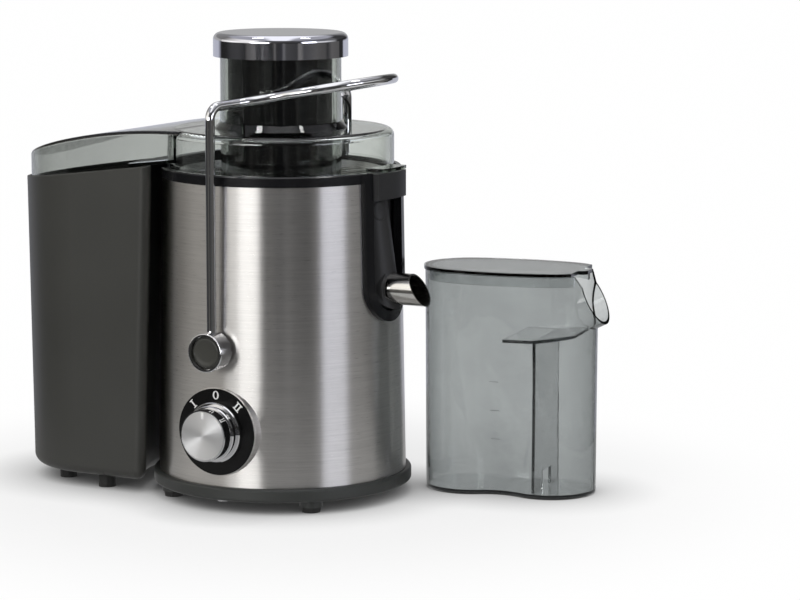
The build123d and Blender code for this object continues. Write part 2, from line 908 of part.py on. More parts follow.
def hood_block(inset, start):
    """Hood over the container: its plan under a falling curved top, round-edged outside only."""
    half_width = hood_half_width() - inset
    plan = Pos(container_end_centre, 0) * Circle(half_width)
    middle = (container_end_centre + start) / 2
    plan += Pos(middle, 0) * Rectangle(start - container_end_centre, 2 * half_width)
    far_end = container_end_centre - container_half_width
    top_edge = ThreePointArc(
        (start, lid_top - hood_start_drop - inset),
        (hood_middle, lid_top - hood_middle_drop - inset),
        (far_end, lid_top - hood_end_drop - inset),
    )
    skirt = hood_skirt + inset
    floor_points = [
        (far_end, lid_top - hood_end_drop - inset),
        (far_end, rim_plane(far_end) - skirt),
        (start, rim_plane(start) - skirt),
        (start, lid_top - hood_start_drop - inset),
    ]
    profile = make_face([top_edge, Polyline(*floor_points)])
    block = extrude(plan, far_out) & extrude(Plane.XZ * profile, far_out, both=True)
    if inset > 0:
        return block
    edges = [edge for edge in block.edges() if edge.center().Z > rim_plane(edge.center().X) + hood_wall]
    rounded = [edge for edge in edges if edge.center().X < start - hood_edge and edge.length > hood_edge]
    return fillet(rounded, hood_edge)


def lid():
    """Clear lid: round cover, chute through it, hood over the container, lugs for the bail."""
    cover = disc(lid_radius, bowl_rim, lid_top)
    cover = fillet(cover.edges().group_by(Axis.Z)[-1], lid_edge)
    start = hood_start
    hood = hood_block(0, start)
    clear_ring = ring(hood_clear_radius, lid_radius, 0, far_out)
    hood -= clear_ring - above_rim(hood_lift)
    shell = cover + hood
    hollow = disc(lid_radius - lid_wall, bowl_rim, lid_top - lid_wall)
    hollow = fillet(hollow.edges().group_by(Axis.Z)[-1], lid_edge - lid_wall)
    shell -= hollow
    mouth = Pos(-far_out / 2, 0, bowl_rim) * Box(far_out, 2 * hood_mouth_half_width, far_out)
    cheeks = ring(lid_radius, lid_radius - lid_wall - run_gap, bowl_rim, far_out) - mouth
    shell -= hood_block(hood_wall, start + lid_wall) - cheeks
    bridge = above_rim(hood_lift) - above_rim(hood_lift + bridge_thickness)
    bridge &= ring(bridge_radius, lid_radius - lid_wall, 0, far_out)
    bridge &= Pos(container_end_centre, 0, bowl_rim) * Box(
        2 * (start - container_end_centre), 2 * hood_half_width(), far_out)
    shell += bridge - mouth
    lip_radius = bowl_radius - bowl_wall - shell_gap
    lip = ring(lip_radius, lip_radius - lid_lip_wall, bowl_rim - lid_lip_depth, bowl_rim + lid_wall)
    shell += lip - mouth
    chute = disc(chute_radius, chute_bottom, chute_top)
    flare = turned([
        (0, lid_top),
        (chute_radius + chute_flare, lid_top),
        (chute_radius, lid_top + chute_flare),
        (0, lid_top + chute_flare),
    ])
    shell += chute + flare
    shell -= disc(chute_bore, chute_bottom, chute_top)
    lug = Pos((lug_back + lug_front) / 2, 0, lid_top + lug_height / 2) * Box(
        lug_front - lug_back, lug_thickness, lug_height)
    front_corner = lug.edges().filter_by(Axis.Y).sort_by(lambda edge: edge.center().X + edge.center().Z)[-1]
    lug = fillet(front_corner, lug_round)
    for side in (-1, 1):
        shell += Pos(0, side * lug_offset, 0) * lug
    tab_bottom = rim_top + run_gap
    tab = ring(lid_tab_reach, lid_radius - lid_wall, tab_bottom, tab_bottom + lid_tab_thickness)
    tab &= Pos(far_out / 2, 0, tab_bottom) * Box(far_out, 2 * lid_tab_half_width, far_out)
    return shell + tab


def pivot_pins():
    """Shouldered pins that carry the bail's hubs, one each side."""
    start = housing_bore(pivot_height) - pivot_boss_radius
    head = hub_face() + hub_length - hub_cap_depth - run_gap
    pins = []
    for side in (-1, 1):
        pin = rod_y(pivot_radius, side * start, side * head, 0, pivot_height)
        under_head = head - pivot_head_height
        pins.append(pin + rod_y(pivot_head_radius, side * under_head, side * head, 0, pivot_height))
    return Compound(pins)


def bail_hubs():
    """Turned hubs at the feet of the bail, recessed for the pin's head and the cap."""
    inner = hub_face()
    outer = inner + hub_length
    recess = outer - hub_cap_depth
    head = recess - 2 * run_gap - pivot_head_height
    leg = inner + wire_leg_inset
    hubs = []
    for side in (-1, 1):
        hub = rod_y(hub_radius, side * inner, side * outer, 0, pivot_height)
        hub = fillet(hub.edges().filter_by(GeomType.CIRCLE), hub_edge)
        hub -= rod_y(pivot_radius + bearing_gap, side * inner, side * outer, 0, pivot_height)
        hub -= rod_y(pivot_head_radius + run_gap, side * head, side * outer, 0, pivot_height)
        hub -= rod_y(hub_cap_radius + shell_gap, side * recess, side * outer, 0, pivot_height)
        hub -= Pos(0, side * leg, 0) * disc(wire_radius + bearing_gap, wire_foot, pivot_height + hub_radius)
        hubs.append(hub)
    return Compound(hubs)


def hub_caps():
    """Domed inserts sunk into the hubs to close them."""
    base = hub_face() + hub_length - hub_cap_depth
    dome = turned([
        (0, 0),
        (hub_cap_radius, 0),
        (hub_cap_radius, hub_cap_depth - hub_cap_sink),
        (0, hub_cap_depth - hub_cap_sink),
    ])
    crown_edge = dome.edges().group_by(Axis.Z)[-1]
    dome = chamfer(crown_edge, hub_cap_crown)
    front = Pos(0, -base, pivot_height) * Rot(90, 0, 0) * dome
    back = Pos(0, base, pivot_height) * Rot(-90, 0, 0) * dome
    return Compound([front, back])


def bent_path(points, radii):
    """Straight runs between points, joined by tangent arcs of the given radii."""
    pieces = []
    last = Vector(points[0])
    for before, corner, after, radius in zip(points, points[1:], points[2:], radii):
        corner = Vector(corner)
        inward = (Vector(before) - corner).normalized()
        onward = (Vector(after) - corner).normalized()
        half = radians(inward.get_angle(onward)) / 2
        reach = radius / tan(half)
        middle = (inward + onward).normalized() * (radius / sin(half) - radius)
        pieces.append(Line(last, corner + inward * reach))
        pieces.append(ThreePointArc(corner + inward * reach, corner + middle, corner + onward * reach))
        last = corner + onward * reach
    pieces.append(Line(last, Vector(points[-1])))
    return Wire(pieces)


def bail_wire():
    """Bent wire: two legs, a knee over each lug, and a round loop that is gripped."""
    leg = hub_face() + wire_leg_inset
    loop_end = loop_centre + loop_radius

    def on_loop(x, y):
        return (x, y, loop_height + loop_rise * x)

    points = [
        (0, -leg, wire_foot),
        on_loop(0, -leg),
        on_loop(wire_knee_reach, -loop_radius),
        on_loop(loop_end, -loop_radius),
        on_loop(loop_end, loop_radius),
        on_loop(wire_knee_reach, loop_radius),
        on_loop(0, leg),
        (0, leg, wire_foot),
    ]
    end_bend = loop_radius - shell_gap
    bends = [wire_bend, wire_knee_bend, end_bend, end_bend, wire_knee_bend, wire_bend]
    path = bent_path(points, bends)
    section = Plane(origin=path @ 0, z_dir=path % 0) * Circle(wire_radius)
    return sweep(section, path)


def pusher_tube():
    """Hollow pusher that hangs in the chute by its flange, with guides down its side."""
    bottom = chute_bottom + pusher_end_gap
    top = cap_top - cap_wall
    tube = disc(pusher_radius, bottom, top)
    tube += disc(cap_radius - cap_wall - shell_gap, flange_bottom, flange_top)
    guide_reach = chute_bore - run_gap
    guide = Pos(guide_reach / 2, 0, bottom) * Box(
        guide_reach, pusher_guide_width, flange_bottom - bottom,
        align=(Align.CENTER, Align.CENTER, Align.MIN))
    guides = joined(around(pusher_guides, 0, guide))
    tube += guides & disc(guide_reach, bottom, flange_bottom)
    return tube - disc(pusher_radius - pusher_wall, bottom + pusher_floor, top)


def pusher_cap():
    """Bright cap over the pusher's flange, with a rounded top edge."""
    cap = disc(cap_radius, cap_bottom, cap_top)
    cap = fillet(cap.edges().group_by(Axis.Z)[-1], cap_edge)
    cap -= disc(cap_radius - cap_wall, cap_bottom, cap_top - cap_wall - cap_edge)
    return cap - disc(cap_radius - cap_edge, cap_bottom, cap_top - cap_wall)


def dial_plate():
    """Round flat dial on the seat that is pressed out of the sleeve."""
    back = dial_seat_face() + shell_gap
    dial = rod_y(dial_radius, -back - dial_thickness, -back, 0, dial_height)
    return dial - rod_y(switch_neck_radius + shell_gap, -far_out, 0, 0, dial_height)


def front_face():
    """How far forward the dial's face stands."""
    return dial_seat_face() + shell_gap + dial_thickness


def on_dial(depth):
    """Frame on the dial's axis, a depth in front of the knob's back, looking forward."""
    return Pos(0, -front_face() - run_gap - depth, dial_height) * Rot(90, 0, 0)


def knob_skirt():
    """Stepped bright knob, hollow for the spindle and recessed for its face."""
    step = knob_skirt_depth + knob_step_depth
    front = step + knob_depth
    knob = turned([
        (spindle_radius, 0),
        (knob_skirt_radius, 0),
        (knob_skirt_radius, knob_skirt_depth - knob_edge),
        (knob_skirt_radius - knob_edge, knob_skirt_depth),
        (knob_step_radius, knob_skirt_depth),
        (knob_step_radius, step - knob_edge),
        (knob_step_radius - knob_edge, step),
        (knob_radius, step),
        (knob_radius, front),
        (knob_face_radius, front),
        (knob_face_radius, front - knob_face_depth),
        (0, front - knob_face_depth),
        (0, spindle_bite),
        (spindle_radius, spindle_bite),
    ])
    return on_dial(0) * knob


def knob_face():
    """Spun metal disc set into the knob's front."""
    front = knob_skirt_depth + knob_step_depth + knob_depth
    radius = knob_face_radius - shell_gap
    return on_dial(front - knob_face_depth) * disc(radius, 0, knob_face_depth + knob_face_proud)


def knob_index():
    """Raised bar on the knob's face that points at the dial's marks."""
    front = knob_skirt_depth + knob_step_depth + knob_depth + knob_face_proud
    place = knob_face_radius - index_edge - index_length / 2
    return on_dial(front) * Pos(0, place, index_height / 2) * Box(index_width, index_length, index_height)


def switch_back():
    """How far forward the flat front of the switch box stands, clear of the round wall."""
    bore = housing_bore(dial_height + switch_width / 2) - shell_gap
    return sqrt(bore ** 2 - (switch_width / 2) ** 2)


def rotary_switch():
    """Speed switch behind the dial, with the neck that clamps it to the wall."""
    back = switch_back()
    box = Pos(0, -back + switch_depth / 2, dial_height) * Box(switch_width, switch_depth, switch_width)
    neck = rod_y(switch_neck_radius, -back, -dial_seat_face(), 0, dial_height)
    bore = rod_y(spindle_radius + bearing_gap, -far_out, -back + switch_depth / 2, 0, dial_height)
    return box + neck - bore


def switch_spindle():
    start = -switch_back() + switch_depth / 2
    end = -front_face() - run_gap - spindle_bite
    return rod_y(spindle_radius, start, end, 0, dial_height)


def safety_switch():
    """Interlock switch under the deck."""
    x, y = safety_switch_at
    return Pos(x, y, deck_bottom - safety_switch_size[2] / 2) * Box(*safety_switch_size)


def cord_gland():
    """Grommet where the mains lead enters, through sleeve and housing at the back."""
    face = sleeve_radius(gland_height - gland_flange_radius)
    gland = rod_y(gland_radius, face - gland_depth, face, 0, gland_height)
    gland += rod_y(gland_flange_radius, face, face + gland_flange_thickness, 0, gland_height)
    return gland - rod_y(gland_bore, 0, far_out, 0, gland_height)


def jug_place():
    return Pos(jug_at[0], jug_at[1], 0) * Rot(0, 0, jug_angle)


def jug_plan(inset, curve):
    """Plan of the jug: two round lobes joined by arcs, hollow for a positive curve, else bulging."""
    lobe = jug_lobe_radius - inset
    waist = curve + inset
    waist_centre = copysign(sqrt((waist + lobe) ** 2 - jug_lobe_centre ** 2), curve)
    share = lobe / (waist + lobe)
    tangent_x = jug_lobe_centre * (1 - share)
    tangent_y = waist_centre * share
    tip = jug_lobe_centre + lobe
    neck = waist_centre - waist
    turn = atan2(tangent_y, tangent_x - jug_lobe_centre) / 2
    side = (jug_lobe_centre + lobe * cos(turn), lobe * sin(turn))
    arcs = [
        ThreePointArc((tangent_x, tangent_y), (0, neck), (-tangent_x, tangent_y)),
        ThreePointArc((-tangent_x, tangent_y), (-side[0], side[1]), (-tip, 0)),
        ThreePointArc((-tip, 0), (-side[0], -side[1]), (-tangent_x, -tangent_y)),
        ThreePointArc((-tangent_x, -tangent_y), (0, -neck), (tangent_x, -tangent_y)),
        ThreePointArc((tangent_x, -tangent_y), (side[0], -side[1]), (tip, 0)),
        ThreePointArc((tip, 0), side, (tangent_x, tangent_y)),
    ]
    return make_face(arcs)


def jug_block(inset, bottom, top):
    """Slice of the block that runs from the waisted, chamfered foot to the oval rim."""
    foot = inset + jug_draft
    sections = [
        jug_plan(foot + jug_foot_edge, jug_waist_radius),
        Pos(0, 0, jug_foot_edge) * jug_plan(foot, jug_waist_radius),
        Pos(0, 0, jug_height) * jug_plan(inset, -jug_bulge_radius),
    ]
    slab = Pos(0, 0, bottom) * extrude(Rectangle(far_out, far_out), top - bottom)
    return loft(sections, ruled=True) & slab


def mouth_frame():
    """Plane of the slanting mouth, its normal pointing up and out."""
    middle = ((mouth_top + mouth_lip) / 2, 0, jug_height - mouth_lip_drop / 2)
    normal = (mouth_lip_drop, 0, mouth_lip - mouth_top)
    return Plane(origin=middle, x_dir=(0, 1, 0), z_dir=normal)


def mouth_tube(inset, forward):
    """Oval tube that leads from inside the jug to the mouth."""
    half_height = hypot(mouth_lip_drop, mouth_lip - mouth_top) / 2
    oval = Ellipse(mouth_half_width - inset, half_height - inset)
    frame = mouth_frame()
    back = frame.offset(-mouth_depth)
    return extrude(back * oval, mouth_depth + forward)


def jug():
    """Clear jug with a waist, and a slanting mouth at its far upper corner."""
    outside = jug_block(0, 0, jug_height) + mouth_tube(0, 0)
    beyond = extrude(mouth_frame() * Rectangle(far_out, far_out), far_out)
    outside -= beyond
    outside -= Pos(0, 0, jug_height) * extrude(Rectangle(far_out, far_out), far_out)
    inside = jug_block(jug_wall, jug_floor, jug_height)
    return jug_place() * (outside - inside - mouth_tube(jug_wall, mouth_depth))


def jug_lid():
    """Flat lid with an inner skirt, cut straight above the mouth, and a finger tab."""
    curve = -jug_bulge_radius
    cover = Pos(0, 0, jug_height) * extrude(jug_plan(-jug_lid_overhang, curve), jug_lid_thickness)
    skirt_inset = jug_wall + jug_lid_gap
    skirt = jug_plan(skirt_inset, curve) - jug_plan(skirt_inset + jug_lid_skirt_wall, curve)
    cover += Pos(0, 0, jug_height - jug_lid_skirt) * extrude(skirt, jug_lid_skirt)
    cover -= Pos(jug_lid_cut + far_out / 2, 0, 0) * Box(far_out, far_out, far_out)
    tab = Pos(jug_lid_cut, 0, jug_height) * Box(
        2 * jug_lid_tab_length, 2 * jug_lid_tab_half_width, jug_lid_thickness,
        align=(Align.CENTER, Align.CENTER, Align.MIN))
    tab = fillet(tab.edges().filter_by(Axis.Z).sort_by(Axis.X)[-2:], jug_lid_tab_round)
    cover += tab
    return jug_place() * cover


def froth_separator():
    """Dividing plate across the jug, with wings at its top that hold back the froth."""
    bottom = jug_floor + run_gap
    reach = separator_at + separator_right_wing
    left = separator_at - separator_left_wing
    low = separator_top
    wings = [
        (left, low),
        (separator_at, low),
        (reach, low + separator_rise),
        (reach, low + separator_rise - separator_thickness),
        (separator_at + separator_thickness, low - separator_thickness),
        (separator_at + separator_thickness, bottom),
        (separator_at, bottom),
        (separator_at, low - separator_thickness),
        (left, low - separator_thickness),
    ]
    plates = side_prism(wings)
    notch = Pos(separator_at, 0, bottom) * Box(
        2 * separator_foot_width, 2 * separator_foot_width, 2 * separator_foot_height)
    plates -= notch
    plates &= jug_block(jug_wall + separator_gap, bottom, jug_height - jug_lid_skirt)
    return jug_place() * plates


pieces = {
    "base_pan": base_pan,
    "base_feet": base_feet,
    "base_screws": base_screws,
    "motor_housing": motor_housing,
    "steel_sleeve": steel_sleeve,
    "spout_surround": spout_surround,
    "motor_dampers": motor_dampers,
    "motor_screws": motor_screws,
    "upper_bracket": upper_bracket,
    "lower_bracket": lower_bracket,
    "upper_bearing": lambda: bearing(bracket_top - bearing_width),
    "lower_bearing": lambda: bearing(lower_bracket_bottom),
    "motor_stator": motor_stator,
    "field_coils": field_coils,
    "brush_holders": brush_holders,
    "shaft_seal": shaft_seal,
    "rotary_switch": rotary_switch,
    "safety_switch": safety_switch,
    "cord_gland": cord_gland,
    "dial_plate": dial_plate,
    "pivot_pins": pivot_pins,
    "juice_bowl": juice_bowl,
    "steel_spout": steel_spout,
    "lid": lid,
    "pulp_container": pulp_container,
    "pulp_container_feet": pulp_container_feet,
    "motor_shaft": motor_shaft,
    "armature_core": armature_core,
    "armature_windings": armature_windings,
    "commutator": commutator,
    "cooling_fan": cooling_fan,
    "drive_coupling": drive_coupling,
    "basket_base": basket_base,
    "grater_disc": grater_disc,
    "basket_mesh": basket_mesh,
    "basket_rim": basket_rim,
    "switch_spindle": switch_spindle,
    "knob_skirt": knob_skirt,
    "knob_face": knob_face,
    "knob_index": knob_index,
    "bail_wire": bail_wire,
    "bail_hubs": bail_hubs,
    "hub_caps": hub_caps,
    "pusher_tube": pusher_tube,
    "pusher_cap": pusher_cap,
    "jug": jug,
    "jug_lid": jug_lid,
    "froth_separator": froth_separator,
}

os.makedirs("parts", exist_ok=True)
for name, make in pieces.items():
    export_step(make(), f"parts/{name}.step")
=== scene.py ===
import bmesh
import bpy
import math
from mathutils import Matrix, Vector
from mathutils.bvhtree import BVHTree


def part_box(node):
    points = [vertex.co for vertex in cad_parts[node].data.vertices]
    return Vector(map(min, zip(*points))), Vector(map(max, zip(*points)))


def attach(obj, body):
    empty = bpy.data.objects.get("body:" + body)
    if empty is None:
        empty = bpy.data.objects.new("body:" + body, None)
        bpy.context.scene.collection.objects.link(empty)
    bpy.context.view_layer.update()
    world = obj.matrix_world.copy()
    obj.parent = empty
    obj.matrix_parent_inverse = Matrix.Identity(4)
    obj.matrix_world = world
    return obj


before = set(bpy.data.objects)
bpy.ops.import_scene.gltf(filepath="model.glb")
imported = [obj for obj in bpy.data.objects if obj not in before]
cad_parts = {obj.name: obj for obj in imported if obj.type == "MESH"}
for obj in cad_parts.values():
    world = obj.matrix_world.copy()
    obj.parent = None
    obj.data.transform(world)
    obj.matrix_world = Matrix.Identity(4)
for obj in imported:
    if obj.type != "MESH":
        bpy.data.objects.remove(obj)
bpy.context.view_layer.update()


# Base pan. A dark grey moulded tray with a rounded skirt that the steel stands on,
# with bosses for the feet and a fine spark-eroded grain, screwed up into the housing.

def new_material(name):
    """A node material, its tree and its Principled shader."""
    material = bpy.data.materials.new(name)
    material.use_nodes = True
    return material, material.node_tree, material.node_tree.nodes["Principled BSDF"]


def new_group(name, inputs, outputs):
    """A shader group with named sockets, its input node and its output node."""
    tree = bpy.data.node_groups.new(name, "ShaderNodeTree")
    for label, kind in inputs.items():
        tree.interface.new_socket(label, in_out="INPUT", socket_type=kind)
    for label, kind in outputs.items():
        tree.interface.new_socket(label, in_out="OUTPUT", socket_type=kind)
    return tree, tree.nodes.new("NodeGroupInput"), tree.nodes.new("NodeGroupOutput")


def add_node(tree, kind, **settings):
    """A node of that kind, with its properties set."""
    node = tree.nodes.new(kind)
    for label, value in settings.items():
        setattr(node, label, value)
    return node


def feed(tree, value, socket):
    """Links a socket to an input, or sets a plain value on it."""
    if isinstance(value, bpy.types.NodeSocket):
        tree.links.new(value, socket)
    else:
        socket.default_value = value


def arithmetic(tree, operation, *values):
    """A math node on sockets or plain values."""
    node = add_node(tree, "ShaderNodeMath", operation=operation)
    for value, socket in zip(values, node.inputs):
        feed(tree, value, socket)
    return node.outputs[0]


def object_place(tree):
    """Where a point of the surface lies, in metres."""
    return add_node(tree, "ShaderNodeTexCoord").outputs["Object"]


def scaled_colour(tree, colour, factor):
    """A colour socket brightened or darkened by a factor socket."""
    node = add_node(tree, "ShaderNodeVectorMath", operation="SCALE")
    feed(tree, colour, node.inputs[0])
    feed(tree, factor, node.inputs["Scale"])
    return node.outputs[0]


def noise(tree, place, scale, detail):
    """A noise value between 0 and 1 at a place socket."""
    node = add_node(tree, "ShaderNodeTexNoise")
    feed(tree, place, node.inputs["Vector"])
    feed(tree, scale, node.inputs["Scale"])
    feed(tree, detail, node.inputs["Detail"])
    return node.outputs["Fac"]


def spread(tree, value, low, high, start=0.0, end=1.0, smooth=False):
    """A value that runs from start to end, stretched to run from low to high."""
    node = add_node(tree, "ShaderNodeMapRange", interpolation_type="SMOOTHSTEP" if smooth else "LINEAR")
    feed(tree, value, node.inputs["Value"])
    for label, limit in (("From Min", start), ("From Max", end), ("To Min", low), ("To Max", high)):
        feed(tree, limit, node.inputs[label])
    return node.outputs["Result"]


def wavering(tree, value, change):
    """A factor that goes a little under and over 1 with a noise value."""
    return spread(tree, value, 1.0 - change, 1.0 + change)


COLOUR, NUMBER, VECTOR = "NodeSocketColor", "NodeSocketFloat", "NodeSocketVector"
grain_change = 0.14
grain_strength = 0.35
cloud_scale = 18.0
cloud_change = 0.10
cloud_polish = 0.12

moulded_grain, grain_in, grain_out = new_group(
    "moulded_grain",
    {"Colour": COLOUR, "Roughness": NUMBER, "Grains per Metre": NUMBER},
    {"Colour": COLOUR, "Roughness": NUMBER, "Height": NUMBER})
grain_place = object_place(moulded_grain)
grain_fine = noise(moulded_grain, grain_place, grain_in.outputs["Grains per Metre"], detail=2.0)
grain_cloud = noise(moulded_grain, grain_place, cloud_scale, detail=3.0)
grain_shade = arithmetic(moulded_grain, "MULTIPLY",
                         wavering(moulded_grain, grain_fine, grain_change),
                         wavering(moulded_grain, grain_cloud, cloud_change))
grain_colour = scaled_colour(moulded_grain, grain_in.outputs["Colour"], grain_shade)
grain_rough = arithmetic(moulded_grain, "MULTIPLY", grain_in.outputs["Roughness"],
                         wavering(moulded_grain, grain_cloud, cloud_polish))
moulded_grain.links.new(grain_colour, grain_out.inputs["Colour"])
moulded_grain.links.new(grain_rough, grain_out.inputs["Roughness"])
moulded_grain.links.new(grain_fine, grain_out.inputs["Height"])


def place_group(tree, group, **values):
    """An instance of a group in a material, with its plain inputs set."""
    node = add_node(tree, "ShaderNodeGroup", node_tree=group)
    for label, value in values.items():
        node.inputs[label.replace("_", " ")].default_value = value
    return node


def bump_from(tree, height, strength, distance):
    """A normal socket made from a height socket."""
    node = add_node(tree, "ShaderNodeBump")
    feed(tree, strength, node.inputs["Strength"])
    feed(tree, distance, node.inputs["Distance"])
    feed(tree, height, node.inputs["Height"])
    return node.outputs["Normal"]


def moulding(name, colour, roughness, grains=1400.0, relief=0.00006, specular=0.5):
    """Opaque moulded plastic or rubber with a fine grain."""
    material, tree, shader = new_material(name)
    shader.inputs["Specular IOR Level"].default_value = specular
    grain = place_group(tree, moulded_grain, Colour=(*colour, 1.0), Roughness=roughness,
                        Grains_per_Metre=grains)
    tree.links.new(grain.outputs["Colour"], shader.inputs["Base Color"])
    tree.links.new(grain.outputs["Roughness"], shader.inputs["Roughness"])
    tree.links.new(bump_from(tree, grain.outputs["Height"], grain_strength, relief), shader.inputs["Normal"])
    return material


def finish(material, *nodes):
    """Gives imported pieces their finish."""
    for node in nodes:
        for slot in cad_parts[node].material_slots:
            slot.material = material


pan_plastic = moulding("pan_plastic", (0.027, 0.029, 0.027), 0.42)
finish(pan_plastic, "base_pan")


# Feet and dampers. Soft black rubber pads pushed into the pan and the container's
# bottom, rubber rings that hang the motor, a lip seal and the lead's grommet.

foot_rubber = moulding("foot_rubber", (0.014, 0.014, 0.013), 0.72, grains=900.0)
finish(foot_rubber, "base_feet", "pulp_container_feet", "motor_dampers", "shaft_seal", "cord_gland")


# Fixings. Zinc-plated screws, ground steel shaft, spindle and pins, and the two ball
# bearings: bright steel with faint turning marks.

streak_change = 0.30
streak_polish = 0.25
streak_strength = 0.12
streak_depth = 0.00003
wide_streaks = 0.16

brushed_streaks, streaks_in, streaks_out = new_group(
    "brushed_streaks",
    {"Place": VECTOR, "Colour": COLOUR, "Roughness": NUMBER},
    {"Colour": COLOUR, "Roughness": NUMBER, "Height": NUMBER})
streak_fine = noise(brushed_streaks, streaks_in.outputs["Place"], 1.0, detail=3.0)
streak_wide = noise(brushed_streaks, streaks_in.outputs["Place"], wide_streaks, detail=2.0)
streak_mix = arithmetic(brushed_streaks, "ADD",
                        spread(brushed_streaks, streak_fine, -0.5, 0.5),
                        spread(brushed_streaks, streak_wide, -0.5, 0.5))
streak_shade = arithmetic(brushed_streaks, "MULTIPLY_ADD", streak_mix, streak_change, 1.0)
streak_colour = scaled_colour(brushed_streaks, streaks_in.outputs["Colour"], streak_shade)
streak_rough = arithmetic(brushed_streaks, "MULTIPLY", streaks_in.outputs["Roughness"],
                          wavering(brushed_streaks, streak_fine, streak_polish))
brushed_streaks.links.new(streak_colour, streaks_out.inputs["Colour"])
brushed_streaks.links.new(streak_rough, streaks_out.inputs["Roughness"])
brushed_streaks.links.new(streak_fine, streaks_out.inputs["Height"])


def place_parts(tree):
    """The X, Y and Z of a point of the surface."""
    node = add_node(tree, "ShaderNodeSeparateXYZ")
    tree.links.new(object_place(tree), node.inputs[0])
    return node.outputs


def turn_of(tree, parts):
    """The angle of a point of the surface round the Z axis."""
    return arithmetic(tree, "ARCTAN2", parts["Y"], parts["X"])


def stretched_place(tree, across, along):
    """A place squeezed into streaks: fine along Z, drawn out round the Z axis."""
    parts = place_parts(tree)
    node = add_node(tree, "ShaderNodeCombineXYZ")
    tree.links.new(arithmetic(tree, "MULTIPLY", turn_of(tree, parts), along), node.inputs["X"])
    tree.links.new(arithmetic(tree, "MULTIPLY", parts["Z"], across), node.inputs["Z"])
    return node.outputs[0]


def brushed_metal(name, colour, roughness, across=2600.0, along=7.0, anisotropy=0.0):
    """Steel or alloy with streaks that run round the Z axis."""
    material, tree, shader = new_material(name)
    shader.inputs["Metallic"].default_value = 1.0
    shader.inputs["Anisotropic"].default_value = anisotropy
    streaks = place_group(tree, brushed_streaks, Colour=(*colour, 1.0), Roughness=roughness)
    tree.links.new(stretched_place(tree, across, along), streaks.inputs["Place"])
    tree.links.new(streaks.outputs["Colour"], shader.inputs["Base Color"])
    tree.links.new(streaks.outputs["Roughness"], shader.inputs["Roughness"])
    tree.links.new(bump_from(tree, streaks.outputs["Height"], streak_strength, streak_depth),
                   shader.inputs["Normal"])
    return material


fixing_steel = brushed_metal("fixing_steel", (0.55, 0.55, 0.56), 0.28)
finish(fixing_steel, "base_screws", "motor_screws", "pivot_pins", "motor_shaft", "switch_spindle",
       "upper_bearing", "lower_bearing")


# Motor. Stacked iron laminations, lacquered copper coils, a copper commutator, cast
# alloy end brackets and moulded brush boxes and fan, closed in by the housing.

motor_iron = brushed_metal("motor_iron", (0.16, 0.16, 0.17), 0.45, across=1900.0, along=0.5)
finish(motor_iron, "motor_stator", "armature_core")
motor_copper = brushed_metal("motor_copper", (0.56, 0.24, 0.10), 0.30, across=2400.0, along=1.0)
finish(motor_copper, "field_coils", "armature_windings", "commutator")
bracket_alloy = moulding("bracket_alloy", (0.42, 0.42, 0.43), 0.40, grains=700.0)
finish(bracket_alloy, "upper_bracket", "lower_bracket")
inner_plastic = moulding("inner_plastic", (0.022, 0.022, 0.024), 0.48)
finish(inner_plastic, "brush_holders", "cooling_fan", "rotary_switch", "safety_switch", "drive_coupling")


# Motor housing. The black moulding inside the steel, whose rim shows as a band above
# the sleeve and whose bosses carry the bail's pins.

housing_plastic = moulding("housing_plastic", (0.006, 0.006, 0.007), 0.18)
finish(housing_plastic, "motor_housing")


# Steel sleeve. Thin stainless sheet rolled into a tapered tube, brushed round its girth
# and slipped over the housing, notched for the spout. Its seam is a thin line at the back.

quarter_turn = 0.25
seam_half_angle = 0.0025
seam_shade = 0.45


def lay_grain(material, axis):
    """Lays a metal's grain round an axis, which stretches its highlights across the grain."""
    tree = material.node_tree
    shader = tree.nodes["Principled BSDF"]
    shader.inputs["Anisotropic Rotation"].default_value = quarter_turn
    tangent = add_node(tree, "ShaderNodeTangent", direction_type="RADIAL", axis=axis)
    tree.links.new(tangent.outputs[0], shader.inputs["Tangent"])


def shade_base(tree, factor):
    """Darkens a material's base colour by a factor socket."""
    base = tree.nodes["Principled BSDF"].inputs["Base Color"]
    tree.links.new(scaled_colour(tree, base.links[0].from_socket, factor), base)


sleeve_steel = brushed_metal("sleeve_steel", (0.60, 0.585, 0.565), 0.30, across=5200.0, along=9.0,
                             anisotropy=0.95)
lay_grain(sleeve_steel, "Z")
sleeve_tree = sleeve_steel.node_tree
seam_off = arithmetic(sleeve_tree, "SUBTRACT", turn_of(sleeve_tree, place_parts(sleeve_tree)), math.pi / 2)
seam_away = arithmetic(sleeve_tree, "ABSOLUTE", seam_off)
seam_clear = arithmetic(sleeve_tree, "GREATER_THAN", seam_away, seam_half_angle)
shade_base(sleeve_tree, spread(sleeve_tree, seam_clear, seam_shade, 1.0))
finish(sleeve_steel, "steel_sleeve")


# Spout niche. A gloss black moulded frame, round at its foot, let into the notch of the
# sleeve and held by the housing behind it.

niche_plastic = moulding("niche_plastic", (0.007, 0.007, 0.008), 0.20, specular=0.3)
finish(niche_plastic, "spout_surround")


# Speed dial. A satin black plate laid on the steel, with white marks printed at the
# off position and the two speeds.

dial_plastic = moulding("dial_plastic", (0.003, 0.003, 0.003), 0.26, specular=0.25)
finish(dial_plastic, "dial_plate")
dial_ink = moulding("dial_ink", (0.80, 0.80, 0.79), 0.45)

mark_circle = 0.0233
mark_height = 0.0054
mark_stem = 0.0010
mark_serif = 0.0006
mark_serif_reach = 0.0014
mark_ring_width = 0.0044
mark_ring_side = 0.0011
mark_ring_steps = 16
mark_pair = 0.00125
mark_one_turn = math.radians(-45.0)
mark_two_turn = math.radians(43.0)
ink_depth = 0.00008
dial_low, dial_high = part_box("dial_plate")
dial_centre = (dial_low + dial_high) / 2


